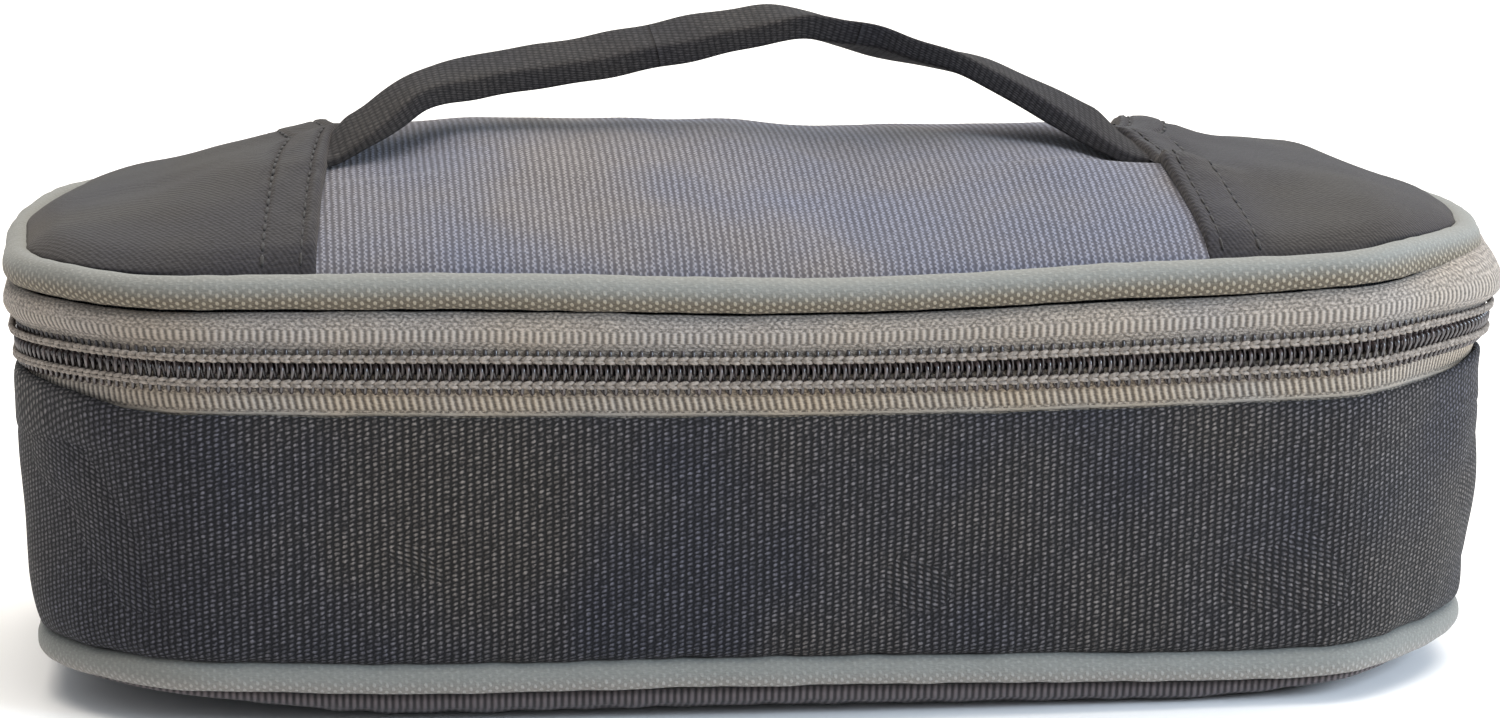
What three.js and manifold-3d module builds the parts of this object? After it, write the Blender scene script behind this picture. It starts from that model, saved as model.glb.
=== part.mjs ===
// Soft insulated lunch bag: a padded tub with a crowned lid, a zip round three sides, piped edges
// and a webbing handle. Millimetres. X runs along the bag, -Y is its front, +Z is up.
// The base rests on z = 0. Insets are measured inwards from the outline of the whole bag.
import * as THREE from "three";
import { mergeVertices } from "three/addons/utils/BufferGeometryUtils.js";
import Module from "manifold-3d";

const wasm = await Module();
wasm.setup();

// Whole bag
const bagLength = 240;
const bagDepth = 120;
const cornerRadius = 34;
const touchGap = 0.3;
const cornerSteps = 6;

// Cloth, padding and tapes
const clothThickness = 0.8;
const foamThickness = 3;
const liningThickness = 0.5;
const tapeThickness = 0.6;
const bindingThickness = 1.4;
const bindingWidth = 4;
const pipingClothThickness = 0.5;

// Lower piping and the wall above it
const lowerPipingDiameter = 4.8;
const lowerPipingHeight = 8.5;
const lowerPipingInset = 2.8;
const wallBellyRise = 5.8;
const wallBellyInset = 2.9;
const wallTopHeight = 50.4;
const wallHemDepth = 6.4;
const wallFootSteps = 3;

// Base
const baseFlatInset = 18;
const baseCurveSteps = 4;
const liningDishWidth = 4;
const liningDishDepth = 3.8;

// Zip
const lowerTapeShowing = 6.6;
const upperTapeShowing = 9.35;
const toothPitch = 1.6;
const toothHeight = 2.6;
const toothEngagement = 1.6;
const coilSpine = 0.6;
const coilThickness = 1.4;
const coilInset = 0.4;
const tapeParting = 3.2;
const teethPerSpineStep = 4;

// Upper piping and lid
const upperPipingDiameter = 5.7;
const lidSeamAbovePiping = 0.5;
const crownRise = 16;
const crownRoundness = 2.2;
const panelThickness = 0.9;
const hemEdge = 66;
const hemWidth = 9;
const hemProud = 0.9;
const hemOverhang = 0.3;
const panelLap = 3;

// Hinge at the back, where no zip runs: its ends leave the slider a straight stretch of zip
const hingeFromCorner = 31;
const hingeFoldGap = 0.6;
const looseTapeWidth = 7;

// Slider and its pull
const sliderLength = 11.5;
const sliderPlate = 0.9;
const sliderFlange = 0.7;
const sliderRestFromHinge = 20;
const sliderNoseRound = 2.4;
const sliderPostLength = 3.4;
const sliderPostForward = 3;
const chainSpread = 1.8;
const chainSpreadRamp = 5;
const bridgeLength = 9;
const bridgeBar = 1.2;
const bridgeWidth = 1.6;
const bridgeClear = 2.2;
const pullEyeRadius = 1.35;
const pullWire = 1.05;
const pullEyeWidth = 1.2;
const pullLength = 25;
const pullWidth = 6.5;
const pullThickness = 1.4;
const pullHoleRadius = 1.5;

// Handle
const handleRise = 13.7;
const handleWidth = 10.5;
const handleThickness = 4.8;
const handleNeckRadius = 3.3;
const handleNeckRun = 14;
const handleEndLength = 5.5;
const handleEndWidth = 22;
const handleEndThickness = 1.8;
// Shares of half the span and of the rise, from the left end to the right end.
const handlePathShares = [
  [-1, 0],
  [-0.87, 0.24],
  [-0.54, 0.55],
  [-0.17, 0.8],
  [0.07, 1],
  [0.24, 0.88],
  [0.64, 0.44],
  [0.87, 0.2],
  [1, 0],
];

// Colours
const charcoal = 0x3b3b40;
const panelGrey = 0x4b4847;
const panelBlueGrey = 0x8a8da0;
const baseBlack = 0x2c2c2f;
const pipingGrey = 0x949a94;
const tapeGrey = 0x96918c;
const coilBlack = 0x28262a;
const handleGrey = 0x464444;
const foamWhite = 0xe6e6e2;
const liningSilver = 0xc2c4c6;
const bindingBlack = 0x242426;
const sliderBlack = 0x1d1d1f;
const clothRoughness = 0.92;
const liningRoughness = 0.4;
const liningMetalness = 0.2;
const metalRoughness = 0.38;
const metalMetalness = 0.6;

function fabric(color) {
  return new THREE.MeshStandardMaterial({ color, roughness: clothRoughness, metalness: 0 });
}

function foil(color) {
  return new THREE.MeshStandardMaterial({
    color,
    roughness: liningRoughness,
    metalness: liningMetalness,
  });
}

function paintedMetal(color) {
  return new THREE.MeshStandardMaterial({
    color,
    roughness: metalRoughness,
    metalness: metalMetalness,
  });
}

// Sizes that follow from the ones above
const halfLength = bagLength / 2;
const halfDepth = bagDepth / 2;
const lowerPipingCentreInset = lowerPipingInset + lowerPipingDiameter / 2;
const wallFootHeight = lowerPipingHeight + lowerPipingDiameter / 2 + touchGap;
const wallBellyHeight = wallFootHeight + wallBellyRise;
const baseRimInset = lowerPipingCentreInset + clothThickness;
const baseRimHeight = lowerPipingHeight - lowerPipingDiameter / 2 - touchGap - clothThickness;
const zipHeight = wallTopHeight + lowerTapeShowing;
const coilBackInset = coilInset + coilThickness;
const tapeOuterInset = coilBackInset + touchGap;
const tapeInnerInset = tapeOuterInset + tapeThickness;
const wallTopInset = tapeOuterInset - touchGap - 2 * clothThickness;
const seamInset = upperPipingDiameter + touchGap;
const lidLayerInset = seamInset + bindingThickness + touchGap;
const upperTapeTop = zipHeight + upperTapeShowing;
const upperPipingHeight = upperTapeTop + touchGap + upperPipingDiameter / 2;
const lidSeamHeight = upperPipingHeight + lidSeamAbovePiping;
const crownRidgeHalf = hemEdge;
const foamFootInset = lowerPipingCentreInset + clothThickness + touchGap;
const foamBellyInset = wallBellyInset + clothThickness + touchGap;
const foamTopInset = tapeInnerInset + touchGap;
const liningStep = foamThickness + touchGap;
const hingeHalf = halfLength - cornerRadius - hingeFromCorner;
const zipLoadLength = sliderRestFromHinge + sliderLength / 2 + chainSpreadRamp - touchGap;

// One leg of the outline seen from above: a straight run or a quarter turn, walked clockwise.
function straightLeg(x, y, normalX, normalY, length, steps) {
  const at = (run) => ({ x: x + normalY * run, y: y - normalX * run, nx: normalX, ny: normalY });
  return { length, at, steps };
}

function cornerLeg(centreX, centreY, startAngle) {
  const length = (cornerRadius * Math.PI) / 2;
  const at = (run) => {
    const angle = startAngle - run / cornerRadius;
    const nx = Math.cos(angle);
    const ny = Math.sin(angle);
    return { x: centreX + cornerRadius * nx, y: centreY + cornerRadius * ny, nx, ny };
  };
  return { length, at, steps: cornerSteps };
}

// The outline starts in the middle of the back and runs past the right side to the front.
const straightX = halfLength - cornerRadius;
const straightY = halfDepth - cornerRadius;
const legs = [
  straightLeg(0, halfDepth, 0, 1, straightX, 1),
  cornerLeg(straightX, straightY, Math.PI / 2),
  straightLeg(halfLength, straightY, 1, 0, 2 * straightY, 1),
  cornerLeg(straightX, -straightY, 0),
  straightLeg(straightX, -halfDepth, 0, -1, 2 * straightX, 2),
  cornerLeg(-straightX, -straightY, -Math.PI / 2),
  straightLeg(-halfLength, -straightY, -1, 0, 2 * straightY, 1),
  cornerLeg(-straightX, straightY, Math.PI),
  straightLeg(-straightX, halfDepth, 0, 1, straightX, 1),
];
const outlineLength = legs.reduce((sum, leg) => sum + leg.length, 0);
const zipStart = hingeHalf + touchGap;
const zipEnd = outlineLength - hingeHalf - touchGap;
const loadStart = zipEnd - zipLoadLength;

function outlineAt(walked) {
  let left = walked;
  for (const leg of legs) {
    if (left <= leg.length) return leg.at(left);
    left -= leg.length;
  }
  return legs[0].at(0);
}

// The places along the outline where a swept band needs a section, from one place to another.
function bandStations(from, to) {
  const stations = [from];
  let legStart = 0;
  for (const leg of legs) {
    for (let step = 0; step < leg.steps; step++) {
      const walked = legStart + (leg.length * step) / leg.steps;
      if (walked > from + touchGap && walked < to - touchGap) stations.push(walked);
    }
    legStart += leg.length;
  }
  stations.push(to);
  return stations;
}

function onBand(walked, inset, height) {
  const p = outlineAt(walked);
  return [p.x - p.nx * inset, p.y - p.ny * inset, height];
}

// A closed solid from points and triangles. Points that coincide are merged, triangles that
// collapse are dropped, and the faces are turned outwards.
function solidFrom(points, triangles) {
  const loose = new THREE.BufferGeometry();
  loose.setAttribute("position", new THREE.Float32BufferAttribute(points.flat(), 3));
  loose.setIndex(triangles.flat());
  return outwards(mergeVertices(loose, 1e-3));
}

function outwards(geometry) {
  const position = geometry.attributes.position;
  const index = geometry.index.array;
  const kept = [];
  const a = new THREE.Vector3();
  const b = new THREE.Vector3();
  const c = new THREE.Vector3();
  let volume = 0;
  for (let i = 0; i < index.length; i += 3) {
    const [p, q, r] = [index[i], index[i + 1], index[i + 2]];
    if (p === q || q === r || r === p) continue;
    kept.push([p, q, r]);
    a.fromBufferAttribute(position, p);
    b.fromBufferAttribute(position, q);
    c.fromBufferAttribute(position, r);
    volume += a.dot(b.cross(c));
  }
  const facing = volume < 0 ? kept.map(([p, q, r]) => [p, r, q]) : kept;
  geometry.setIndex(facing.flat());
  return geometry;
}

function bare(geometry) {
  const copy = geometry.clone();
  copy.deleteAttribute("normal");
  copy.deleteAttribute("uv");
  return outwards(mergeVertices(copy, 1e-3));
}

function toManifold(geometry) {
  const clean = bare(geometry);
  return new wasm.Manifold(
    new wasm.Mesh({
      numProp: 3,
      vertProperties: new Float32Array(clean.attributes.position.array),
      triVerts: new Uint32Array(clean.index.array),
    }),
  );
}

function fromManifold(solid) {
  const mesh = solid.getMesh();
  const geometry = new THREE.BufferGeometry();
  const position = new THREE.BufferAttribute(mesh.vertProperties, mesh.numProp);
  geometry.setAttribute("position", position);
  geometry.setIndex(new THREE.BufferAttribute(mesh.triVerts, 1));
  return geometry;
}

function joined(...geometries) {
  return fromManifold(geometries.map(toManifold).reduce((sum, next) => sum.add(next)));
}

function box(lowX, highX, lowY, highY, lowZ, highZ) {
  const geometry = new THREE.BoxGeometry(highX - lowX, highY - lowY, highZ - lowZ);
  return geometry.translate((lowX + highX) / 2, (lowY + highY) / 2, (lowZ + highZ) / 2);
}

// A skin through rings of equally many points, closed by a flat cap at each end or into a loop.
function loft(rings, isLoop) {
  const count = rings[0].length;
  const triangles = [];
  const last = isLoop ? rings.length : rings.length - 1;
  for (let ring = 0; ring < last; ring++) {
    const next = (ring + 1) % rings.length;
    for (let i = 0; i < count; i++) {
      const j = (i + 1) % count;
      const [a, b] = [ring * count + i, ring * count + j];
      const [c, d] = [next * count + j, next * count + i];
      triangles.push([a, b, c], [a, c, d]);
    }
  }
  return { points: rings.flat(), triangles, count };
}

// A profile of [inset, height] points swept along the outline. The profile of a band with ends
// runs anticlockwise in inset and height.
function sweepBand(profile, from, to) {
  const isLoop = from === 0 && to === outlineLength;
  const stations = bandStations(from, to);
  if (isLoop) stations.pop();
  const rings = stations.map((walked) => profile.map(([inset, height]) => onBand(walked, inset, height)));
  const { points, triangles, count } = loft(rings, isLoop);
  if (!isLoop) {
    const flat = profile.map(([inset, height]) => new THREE.Vector2(inset, height));
    const capBase = (rings.length - 1) * count;
    for (const [a, b, c] of THREE.ShapeUtils.triangulateShape(flat, [])) {
      triangles.push([a, c, b], [capBase + a, capBase + b, capBase + c]);
    }
  }
  return solidFrom(points, triangles);
}

function sweepLoop(profile) {
  return sweepBand(profile, 0, outlineLength);
}

function strip(outerInset, innerInset, lowHeight, highHeight) {
  return [
    [outerInset, lowHeight],
    [innerInset, lowHeight],
    [innerInset, highHeight],
    [outerInset, highHeight],
  ];
}

// Points of a curve as [inset, height] pairs.
function curvePoints(start, control, end, steps) {
  const curve = new THREE.QuadraticBezierCurve(
    new THREE.Vector2(...start),
    new THREE.Vector2(...control),
    new THREE.Vector2(...end),
  );
  return curve.getPoints(steps).map((p) => [p.x, p.y]);
}

const pipingOuterSteps = 7;
const pipingInnerSteps = 5;
const pipingCordSides = 5;
const pipingMouthAngle = 0.5;

// The cloth of a piping, wrapped round its cord and open towards the inside of the bag.
function pipingCover(diameter, centreInset, centreHeight) {
  const arc = (radius, steps, isReversed) => {
    const sweep = 2 * (Math.PI - pipingMouthAngle);
    return Array.from({ length: steps + 1 }, (_, i) => {
      const share = isReversed ? 1 - i / steps : i / steps;
      const angle = pipingMouthAngle + sweep * share;
      return [centreInset + radius * Math.cos(angle), centreHeight + radius * Math.sin(angle)];
    });
  };
  const outer = arc(diameter / 2, pipingOuterSteps, false);
  const inner = arc(diameter / 2 - pipingClothThickness, pipingInnerSteps, true);
  return sweepLoop([...outer, ...inner]);
}

function pipingCord(diameter, centreInset, centreHeight) {
  const radius = diameter / 2 - pipingClothThickness - touchGap;
  const round = Array.from({ length: pipingCordSides }, (_, i) => {
    const angle = (2 * Math.PI * i) / pipingCordSides;
    return [centreInset + radius * Math.cos(angle), centreHeight + radius * Math.sin(angle)];
  });
  return sweepLoop(round);
}

// Cloth wall: it bulges over the lower piping, leans out and ends in a doubled hem at the zip.
function wallPanel() {
  const hemFoot = wallTopHeight - wallHemDepth;
  const leanShare = (hemFoot - wallBellyHeight) / (wallTopHeight - wallBellyHeight);
  const hemInset = wallBellyInset + (wallTopInset - wallBellyInset) * leanShare;
  const outerFoot = curvePoints(
    [lowerPipingCentreInset, wallFootHeight],
    [wallBellyInset, wallFootHeight],
    [wallBellyInset, wallBellyHeight],
    wallFootSteps,
  );
  const innerFoot = outerFoot.map(([inset, height]) => [inset + clothThickness, height]).reverse();
  const hemInner = wallTopInset + 2 * clothThickness;
  return sweepLoop(
    [
      ...outerFoot,
      [wallTopInset, wallTopHeight],
      [hemInner, wallTopHeight],
      [hemInner, hemFoot],
      [hemInset + clothThickness, hemFoot],
      ...innerFoot,
    ].reverse(),
  );
}

const wallFoamTop = wallTopHeight - liningThickness - touchGap;

function wallFoam() {
  return sweepLoop([
    [foamFootInset, wallFootHeight],
    [foamFootInset + foamThickness, wallFootHeight],
    [foamBellyInset + foamThickness, wallBellyHeight],
    [foamTopInset + foamThickness, wallFoamTop],
    [foamTopInset, wallFoamTop],
    [foamBellyInset, wallBellyHeight],
  ]);
}

// The lining covers the foam and turns out over its top edge to the zip tape.
function wallLining() {
  const lipHeight = wallFoamTop + touchGap;
  return sweepLoop([
    [foamFootInset + liningStep, wallFootHeight],
    [foamFootInset + liningStep + liningThickness, wallFootHeight],
    [foamBellyInset + liningStep + liningThickness, wallBellyHeight],
    [foamTopInset + liningStep + liningThickness, lipHeight + liningThickness],
    [foamTopInset, lipHeight + liningThickness],
    [foamTopInset, lipHeight],
    [foamTopInset + liningStep, lipHeight],
    [foamBellyInset + liningStep, wallBellyHeight],
  ]);
}

// A dish or slab filling the outline: rings of [inset, height] joined across the middle.
function dish(rings) {
  const stations = bandStations(0, outlineLength);
  stations.pop();
  const loops = rings.map(([inset, height]) => stations.map((walked) => onBand(walked, inset, height)));
  const { points, triangles, count } = loft(loops, false);
  const capBase = (loops.length - 1) * count;
  const plan = loops[0].map(([x, y]) => new THREE.Vector2(x, y)).reverse();
  const flip = (i) => count - 1 - i;
  for (const [a, b, c] of THREE.ShapeUtils.triangulateShape(plan, [])) {
    const [p, q, r] = [flip(a), flip(b), flip(c)];
    triangles.push([p, q, r], [capBase + p, capBase + r, capBase + q]);
  }
  return solidFrom(points, triangles);
}

function basePanel() {
  const rim = [baseRimInset, baseRimHeight];
  const under = curvePoints([baseFlatInset, 0], [baseRimInset, 0], rim, baseCurveSteps);
  const over = under.map(([inset, height]) => {
    const turned = clothThickness * (height / baseRimHeight);
    return [inset + turned, height + clothThickness];
  });
  return dish([...under, ...over.reverse()]);
}

const baseFoamLow = clothThickness + touchGap;
const baseLiningLow = baseFoamLow + foamThickness + touchGap;
const liningDishHeight = baseLiningLow + liningDishDepth;
const liningFaceInset = foamFootInset + liningStep + liningThickness;

function baseFoam() {
  const inset = foamFootInset + foamThickness;
  return dish([
    [baseFlatInset, baseFoamLow],
    [inset, baseFoamLow + foamThickness],
  ]);
}

function baseLining() {
  const dishInset = liningFaceInset + liningDishWidth;
  return dish([
    [dishInset, baseLiningLow],
    [liningFaceInset, liningDishHeight],
    [liningFaceInset + liningThickness, liningDishHeight],
    [dishInset + liningThickness, baseLiningLow + liningThickness],
  ]);
}

function bottomSeamBinding() {
  const inset = liningFaceInset + touchGap;
  const low = liningDishHeight + touchGap;
  return sweepLoop(strip(inset, inset + bindingThickness, low, low + bindingWidth));
}

function topSeamBinding() {
  const high = lidSeamHeight - panelThickness - touchGap;
  return sweepLoop(strip(seamInset, seamInset + bindingThickness, high - bindingWidth, high));
}

// Zip tapes: the lower one is sewn behind the wall's hem, the upper one under the upper piping.
const tapeEdgeLow = zipHeight - tapeParting / 2;
const tapeEdgeHigh = zipHeight + tapeParting / 2;
const looseTapeTop = tapeEdgeHigh + looseTapeWidth - tapeParting / 2;

function lowerZipTape() {
  const foot = wallTopHeight - wallHemDepth;
  return sweepBand(strip(tapeOuterInset, tapeInnerInset, foot, tapeEdgeLow), zipStart, zipEnd);
}

function upperZipTape() {
  const profile = strip(tapeOuterInset, tapeInnerInset, tapeEdgeHigh, upperTapeTop);
  return sweepBand(profile, zipStart, loadStart - touchGap);
}

// Beside the hinge the upper tape is slit lengthwise: its sewn edge stays with the lid, and its
// free edge with the slider.
function upperZipTapeSewnEdge() {
  const profile = strip(tapeOuterInset, tapeInnerInset, looseTapeTop + touchGap, upperTapeTop);
  return sweepBand(profile, loadStart, zipEnd);
}

function upperZipTapeEnd() {
  return sweepBand(strip(tapeOuterInset, tapeInnerInset, tapeEdgeHigh, looseTapeTop), loadStart, zipEnd);
}

// How far the two halves of the chain stand back from the zip's centre line, beyond being in mesh.
function spreadAt(walked) {
  const ramp = (walked - loadStart) / chainSpreadRamp;
  return chainSpread * Math.min(1, Math.max(0, ramp));
}

// One half of the zip chain: pointed teeth on a thin spine, pointing up (1) or down (-1).
// Both halves count their teeth from the zip's start, half a pitch apart, so that they interlock.
function coilHalf(from, to, pointing) {
  const phaseShare = pointing > 0 ? 0 : 0.5;
  const firstTooth = Math.ceil((from - zipStart) / toothPitch - phaseShare);
  const lastTooth = Math.floor((to - zipStart) / toothPitch - phaseShare);
  const startAt = zipStart + (firstTooth + phaseShare) * toothPitch;
  const teeth = lastTooth - firstTooth;
  const tipReach = toothEngagement / 2;
  const rootReach = tipReach - toothHeight;
  const points = [];
  const triangles = [];
  const add = (walked, reach) => {
    const height = zipHeight + pointing * (reach - spreadAt(walked));
    points.push(onBand(walked, coilInset, height), onBand(walked, coilBackInset, height));
    return points.length - 2;
  };
  const roots = Array.from({ length: teeth + 1 }, (_, i) => add(startAt + i * toothPitch, rootReach));
  const tips = Array.from({ length: teeth }, (_, i) => add(startAt + (i + 0.5) * toothPitch, tipReach));
  const spineTeeth = [];
  for (let i = 0; i < teeth; i += teethPerSpineStep) spineTeeth.push(i);
  spineTeeth.push(teeth);
  const spine = spineTeeth.map((i) => add(startAt + i * toothPitch, rootReach - coilSpine));
  const face = (a, b, c) => triangles.push([a, b, c], [a + 1, c + 1, b + 1]);
  const edge = (a, b) => triangles.push([b, a, a + 1], [b, a + 1, b + 1]);
  for (let i = 0; i < teeth; i++) {
    face(roots[i], roots[i + 1], tips[i]);
    edge(tips[i], roots[i]);
    edge(roots[i + 1], tips[i]);
  }
  for (let k = 0; k + 1 < spine.length; k++) {
    const [low, high] = [spineTeeth[k], spineTeeth[k + 1]];
    const middle = Math.floor((low + high) / 2);
    for (let i = low; i < middle; i++) face(spine[k], roots[i + 1], roots[i]);
    face(spine[k], spine[k + 1], roots[middle]);
    for (let i = middle; i < high; i++) face(spine[k + 1], roots[i + 1], roots[i]);
    edge(spine[k], spine[k + 1]);
  }
  edge(roots[0], spine[0]);
  edge(spine[spine.length - 1], roots[teeth]);
  return solidFrom(points, triangles);
}

function hingeGusset(low, high) {
  const half = hingeHalf;
  const outerY = halfDepth - tapeOuterInset;
  return box(-half, half, outerY - clothThickness, outerY, low, high);
}

// How far a plan point lies from the lid's ridge: 0 on the ridge and 1 on the seam.
function seamShare(x, y) {
  const ridgeX = Math.min(Math.max(x, -crownRidgeHalf), crownRidgeHalf);
  const [dx, dy] = [Math.abs(x - ridgeX), Math.abs(y)];
  const reach = halfLength - seamInset - crownRidgeHalf;
  const breadth = halfDepth - seamInset;
  const radius = cornerRadius - seamInset;
  if (dx === 0) return dy / breadth;
  if (dy * (reach - radius) >= dx * breadth) return dy / breadth;
  if (dx * (breadth - radius) >= dy * reach) return dx / reach;
  const [cx, cy] = [reach - radius, breadth - radius];
  const across = dx * cx + dy * cy;
  const square = dx * dx + dy * dy;
  const corner = cx * cx + cy * cy - radius * radius;
  return square / (across + Math.sqrt(across * across - square * corner));
}

function crownHeight(x, y) {
  return lidSeamHeight + crownRise * (1 - seamShare(x, y) ** crownRoundness);
}

const crownShares = [0, 0.35, 0.65, 0.87, 1];

// Places along the outline at which the lid has a section: the bands' own, and the ridge's ends.
function crownStations() {
  const front = outlineLength / 2;
  const ridgeEnds = [
    crownRidgeHalf,
    front - crownRidgeHalf,
    front + crownRidgeHalf,
    outlineLength - crownRidgeHalf,
  ];
  return [...bandStations(0, outlineLength).slice(0, -1), ...ridgeEnds].sort((a, b) => a - b);
}

// One layer of the lid: rings from the ridge to the seam over the top and back underneath.
function crownRings(stations, inset, top, thickness) {
  const surface = (lift) =>
    crownShares.map((share) =>
      stations.map((walked) => {
        const [edgeX, edgeY] = onBand(walked, inset, 0);
        const ridgeX = Math.min(Math.max(edgeX, -crownRidgeHalf), crownRidgeHalf);
        const [x, y] = [ridgeX + (edgeX - ridgeX) * share, edgeY * share];
        return [x, y, crownHeight(x, y) + lift];
      }),
    );
  return [...surface(top), ...surface(top - thickness).reverse()];
}

function crownLayer(inset, top, thickness) {
  const { points, triangles } = loft(crownRings(crownStations(), inset, top, thickness), false);
  return solidFrom(points, triangles);
}

// The part of a layer beyond one end of the ridge: sections from the ridge's end out to the seam,
// swept round the end of the bag and closed along the ridge's end.
function crownEnd(side, inset, top, thickness) {
  const stations = crownStations().filter((walked) => outlineAt(walked).x * side >= crownRidgeHalf);
  const rings = crownRings(stations, inset, top, thickness);
  const sections = stations.map((_, i) => rings.map((ring) => ring[i]));
  const { points, triangles, count } = loft(sections, false);
  const capBase = (sections.length - 1) * count;
  for (let i = 0; i + 1 < count / 2; i++) {
    const [a, b, c, d] = [i, i + 1, count - 2 - i, count - 1 - i];
    triangles.push([b, a, d], [b, d, c]);
    triangles.push([capBase + a, capBase + b, capBase + c], [capBase + a, capBase + c, capBase + d]);
  }
  return solidFrom(points, triangles);
}

// Places across the whole crown, as shares of half its breadth.
function acrossShares() {
  return [...crownShares.map((share) => -share).reverse(), ...crownShares.slice(1)];
}

function lidCentrePanel() {
  const half = halfDepth - seamInset;
  const shape = new THREE.Shape();
  const ys = acrossShares().map((share) => share * half);
  ys.forEach((y, i) => {
    if (i === 0) shape.moveTo(y, crownHeight(0, y));
    else shape.lineTo(y, crownHeight(0, y));
  });
  [...ys].reverse().forEach((y) => shape.lineTo(y, crownHeight(0, y) - panelThickness));
  const length = 2 * (hemEdge + panelLap);
  const panel = new THREE.ExtrudeGeometry(shape, { depth: length, bevelEnabled: false });
  const turned = new THREE.Matrix4().makeBasis(
    new THREE.Vector3(0, 1, 0),
    new THREE.Vector3(0, 0, 1),
    new THREE.Vector3(1, 0, 0),
  );
  return bare(panel.applyMatrix4(turned).translate(-length / 2, 0, 0));
}

// An end panel laps over the centre panel and is doubled under in a raised hem along its edge.
function lidEndPanel(side) {
  const lift = touchGap + panelThickness;
  const panel = crownEnd(side, seamInset, lift, panelThickness);
  const half = halfDepth - seamInset - touchGap;
  const sections = acrossShares().map((share) => {
    const y = share * half;
    const at = (x, raised) => [side * x, y, crownHeight(x, y) + lift + raised];
    const edge = hemEdge - hemOverhang;
    return [
      at(edge, -panelThickness / 2),
      at(edge, hemProud),
      at(hemEdge + hemWidth - hemProud, hemProud),
      at(hemEdge + hemWidth, -panelThickness / 2),
    ];
  });
  return joined(panel, cappedLoft(sections));
}

function cappedLoft(rings) {
  const { points, triangles, count } = loft(rings, false);
  const capBase = (rings.length - 1) * count;
  for (let i = 1; i + 1 < count; i++) {
    triangles.push([0, i + 1, i], [capBase, capBase + i, capBase + i + 1]);
  }
  return solidFrom(points, triangles);
}

// Handle: sections in planes across the bag, between necks about which the strap tips over.
const handleSides = 8;
const handleSteps = 14;
const handleEndSteps = 2;
const roundPower = 2;
const handleSpan = 2 * (hemEdge - hemOverhang - 2 * touchGap - handleEndLength);
const neckHeight = lidSeamHeight + crownRise + touchGap + handleNeckRadius;

// A rounded section across the bag: an ellipse at a power of 2, squarer at a higher one.
function roundedSection(x, centreZ, halfWidth, halfHeight, power) {
  return Array.from({ length: handleSides }, (_, i) => {
    const angle = (2 * Math.PI * (i + 0.5)) / handleSides;
    const [c, s] = [Math.cos(angle), Math.sin(angle)];
    const bulge = 1 / (Math.abs(c) ** power + Math.abs(s) ** power) ** (1 / power);
    return [x, halfWidth * c * bulge, centreZ + halfHeight * s * bulge];
  });
}

function handleStrap() {
  const half = handleSpan / 2;
  const knots = handlePathShares.map(([along, up]) => new THREE.Vector3(along * half, 0, up * handleRise));
  const path = new THREE.CatmullRomCurve3(knots, false, "centripetal");
  const rings = Array.from({ length: handleSteps + 1 }, (_, i) => {
    const p = path.getPointAt(i / handleSteps);
    const fromEnd = Math.min(1, (half - Math.abs(p.x)) / handleNeckRun);
    const width = THREE.MathUtils.lerp(handleNeckRadius, handleWidth / 2, fromEnd);
    const height = THREE.MathUtils.lerp(handleNeckRadius, handleThickness / 2, fromEnd);
    return roundedSection(p.x, neckHeight + p.z, width, height, roundPower + fromEnd);
  });
  return cappedLoft(rings);
}

// A sewn-down end of the handle: flat at the hem, gathered round where the strap rises from it.
function handleEnd(side) {
  const outer = hemEdge - hemOverhang - touchGap;
  const inner = handleSpan / 2 + touchGap;
  const flatHeight = lidSeamHeight + crownRise + touchGap + handleEndThickness / 2;
  const rings = Array.from({ length: handleEndSteps + 1 }, (_, i) => {
    const share = i / handleEndSteps;
    const x = THREE.MathUtils.lerp(outer, inner, share);
    const width = THREE.MathUtils.lerp(handleEndWidth / 2, handleNeckRadius, share);
    const height = THREE.MathUtils.lerp(handleEndThickness / 2, handleNeckRadius, share);
    const z = THREE.MathUtils.lerp(flatHeight, neckHeight, share);
    return roundedSection(side * x, z, width, height, roundPower * (2 - share));
  });
  return cappedLoft(rings);
}

// Slider, drawn at its rest place on the left part of the back.
const sliderCurveSteps = 3;
const pullCurveSteps = 4;
const eyeCurveSteps = 6;
const sliderX = -(hingeHalf + sliderRestFromHinge);
const chainHalfWidth = toothHeight - toothEngagement / 2 + coilSpine + chainSpread;
const flangeInner = chainHalfWidth + touchGap;
const sliderHalfWidth = flangeInner + sliderFlange;
const frontPlateY = halfDepth - coilInset + touchGap;
const rearPlateY = halfDepth - tapeInnerInset - touchGap;
const bridgeBarY = frontPlateY + sliderPlate + bridgeClear + bridgeBar / 2;

// A plate in the plane of the zip, with a rounded nose, from its outline in X and Z.
function sliderPlateAt(lowY) {
  const shape = new THREE.Shape();
  const [half, reach, round] = [sliderHalfWidth, sliderLength / 2, sliderNoseRound];
  shape.moveTo(-reach, -half + round / 2);
  shape.lineTo(-reach + round / 2, -half);
  shape.lineTo(reach - round, -half);
  shape.quadraticCurveTo(reach, -half, reach, -half + round);
  shape.lineTo(reach, half - round);
  shape.quadraticCurveTo(reach, half, reach - round, half);
  shape.lineTo(-reach + round / 2, half);
  shape.lineTo(-reach, half - round / 2);
  return acrossWall(shape, sliderPlate, lowY, sliderCurveSteps);
}

// Extrudes a shape drawn in X and Z along Y, from lowY outwards.
function acrossWall(shape, depth, lowY, curveSegments) {
  const geometry = new THREE.ExtrudeGeometry(shape, { depth, bevelEnabled: false, curveSegments });
  return geometry.rotateX(Math.PI / 2).translate(0, lowY + depth, 0);
}

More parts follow.
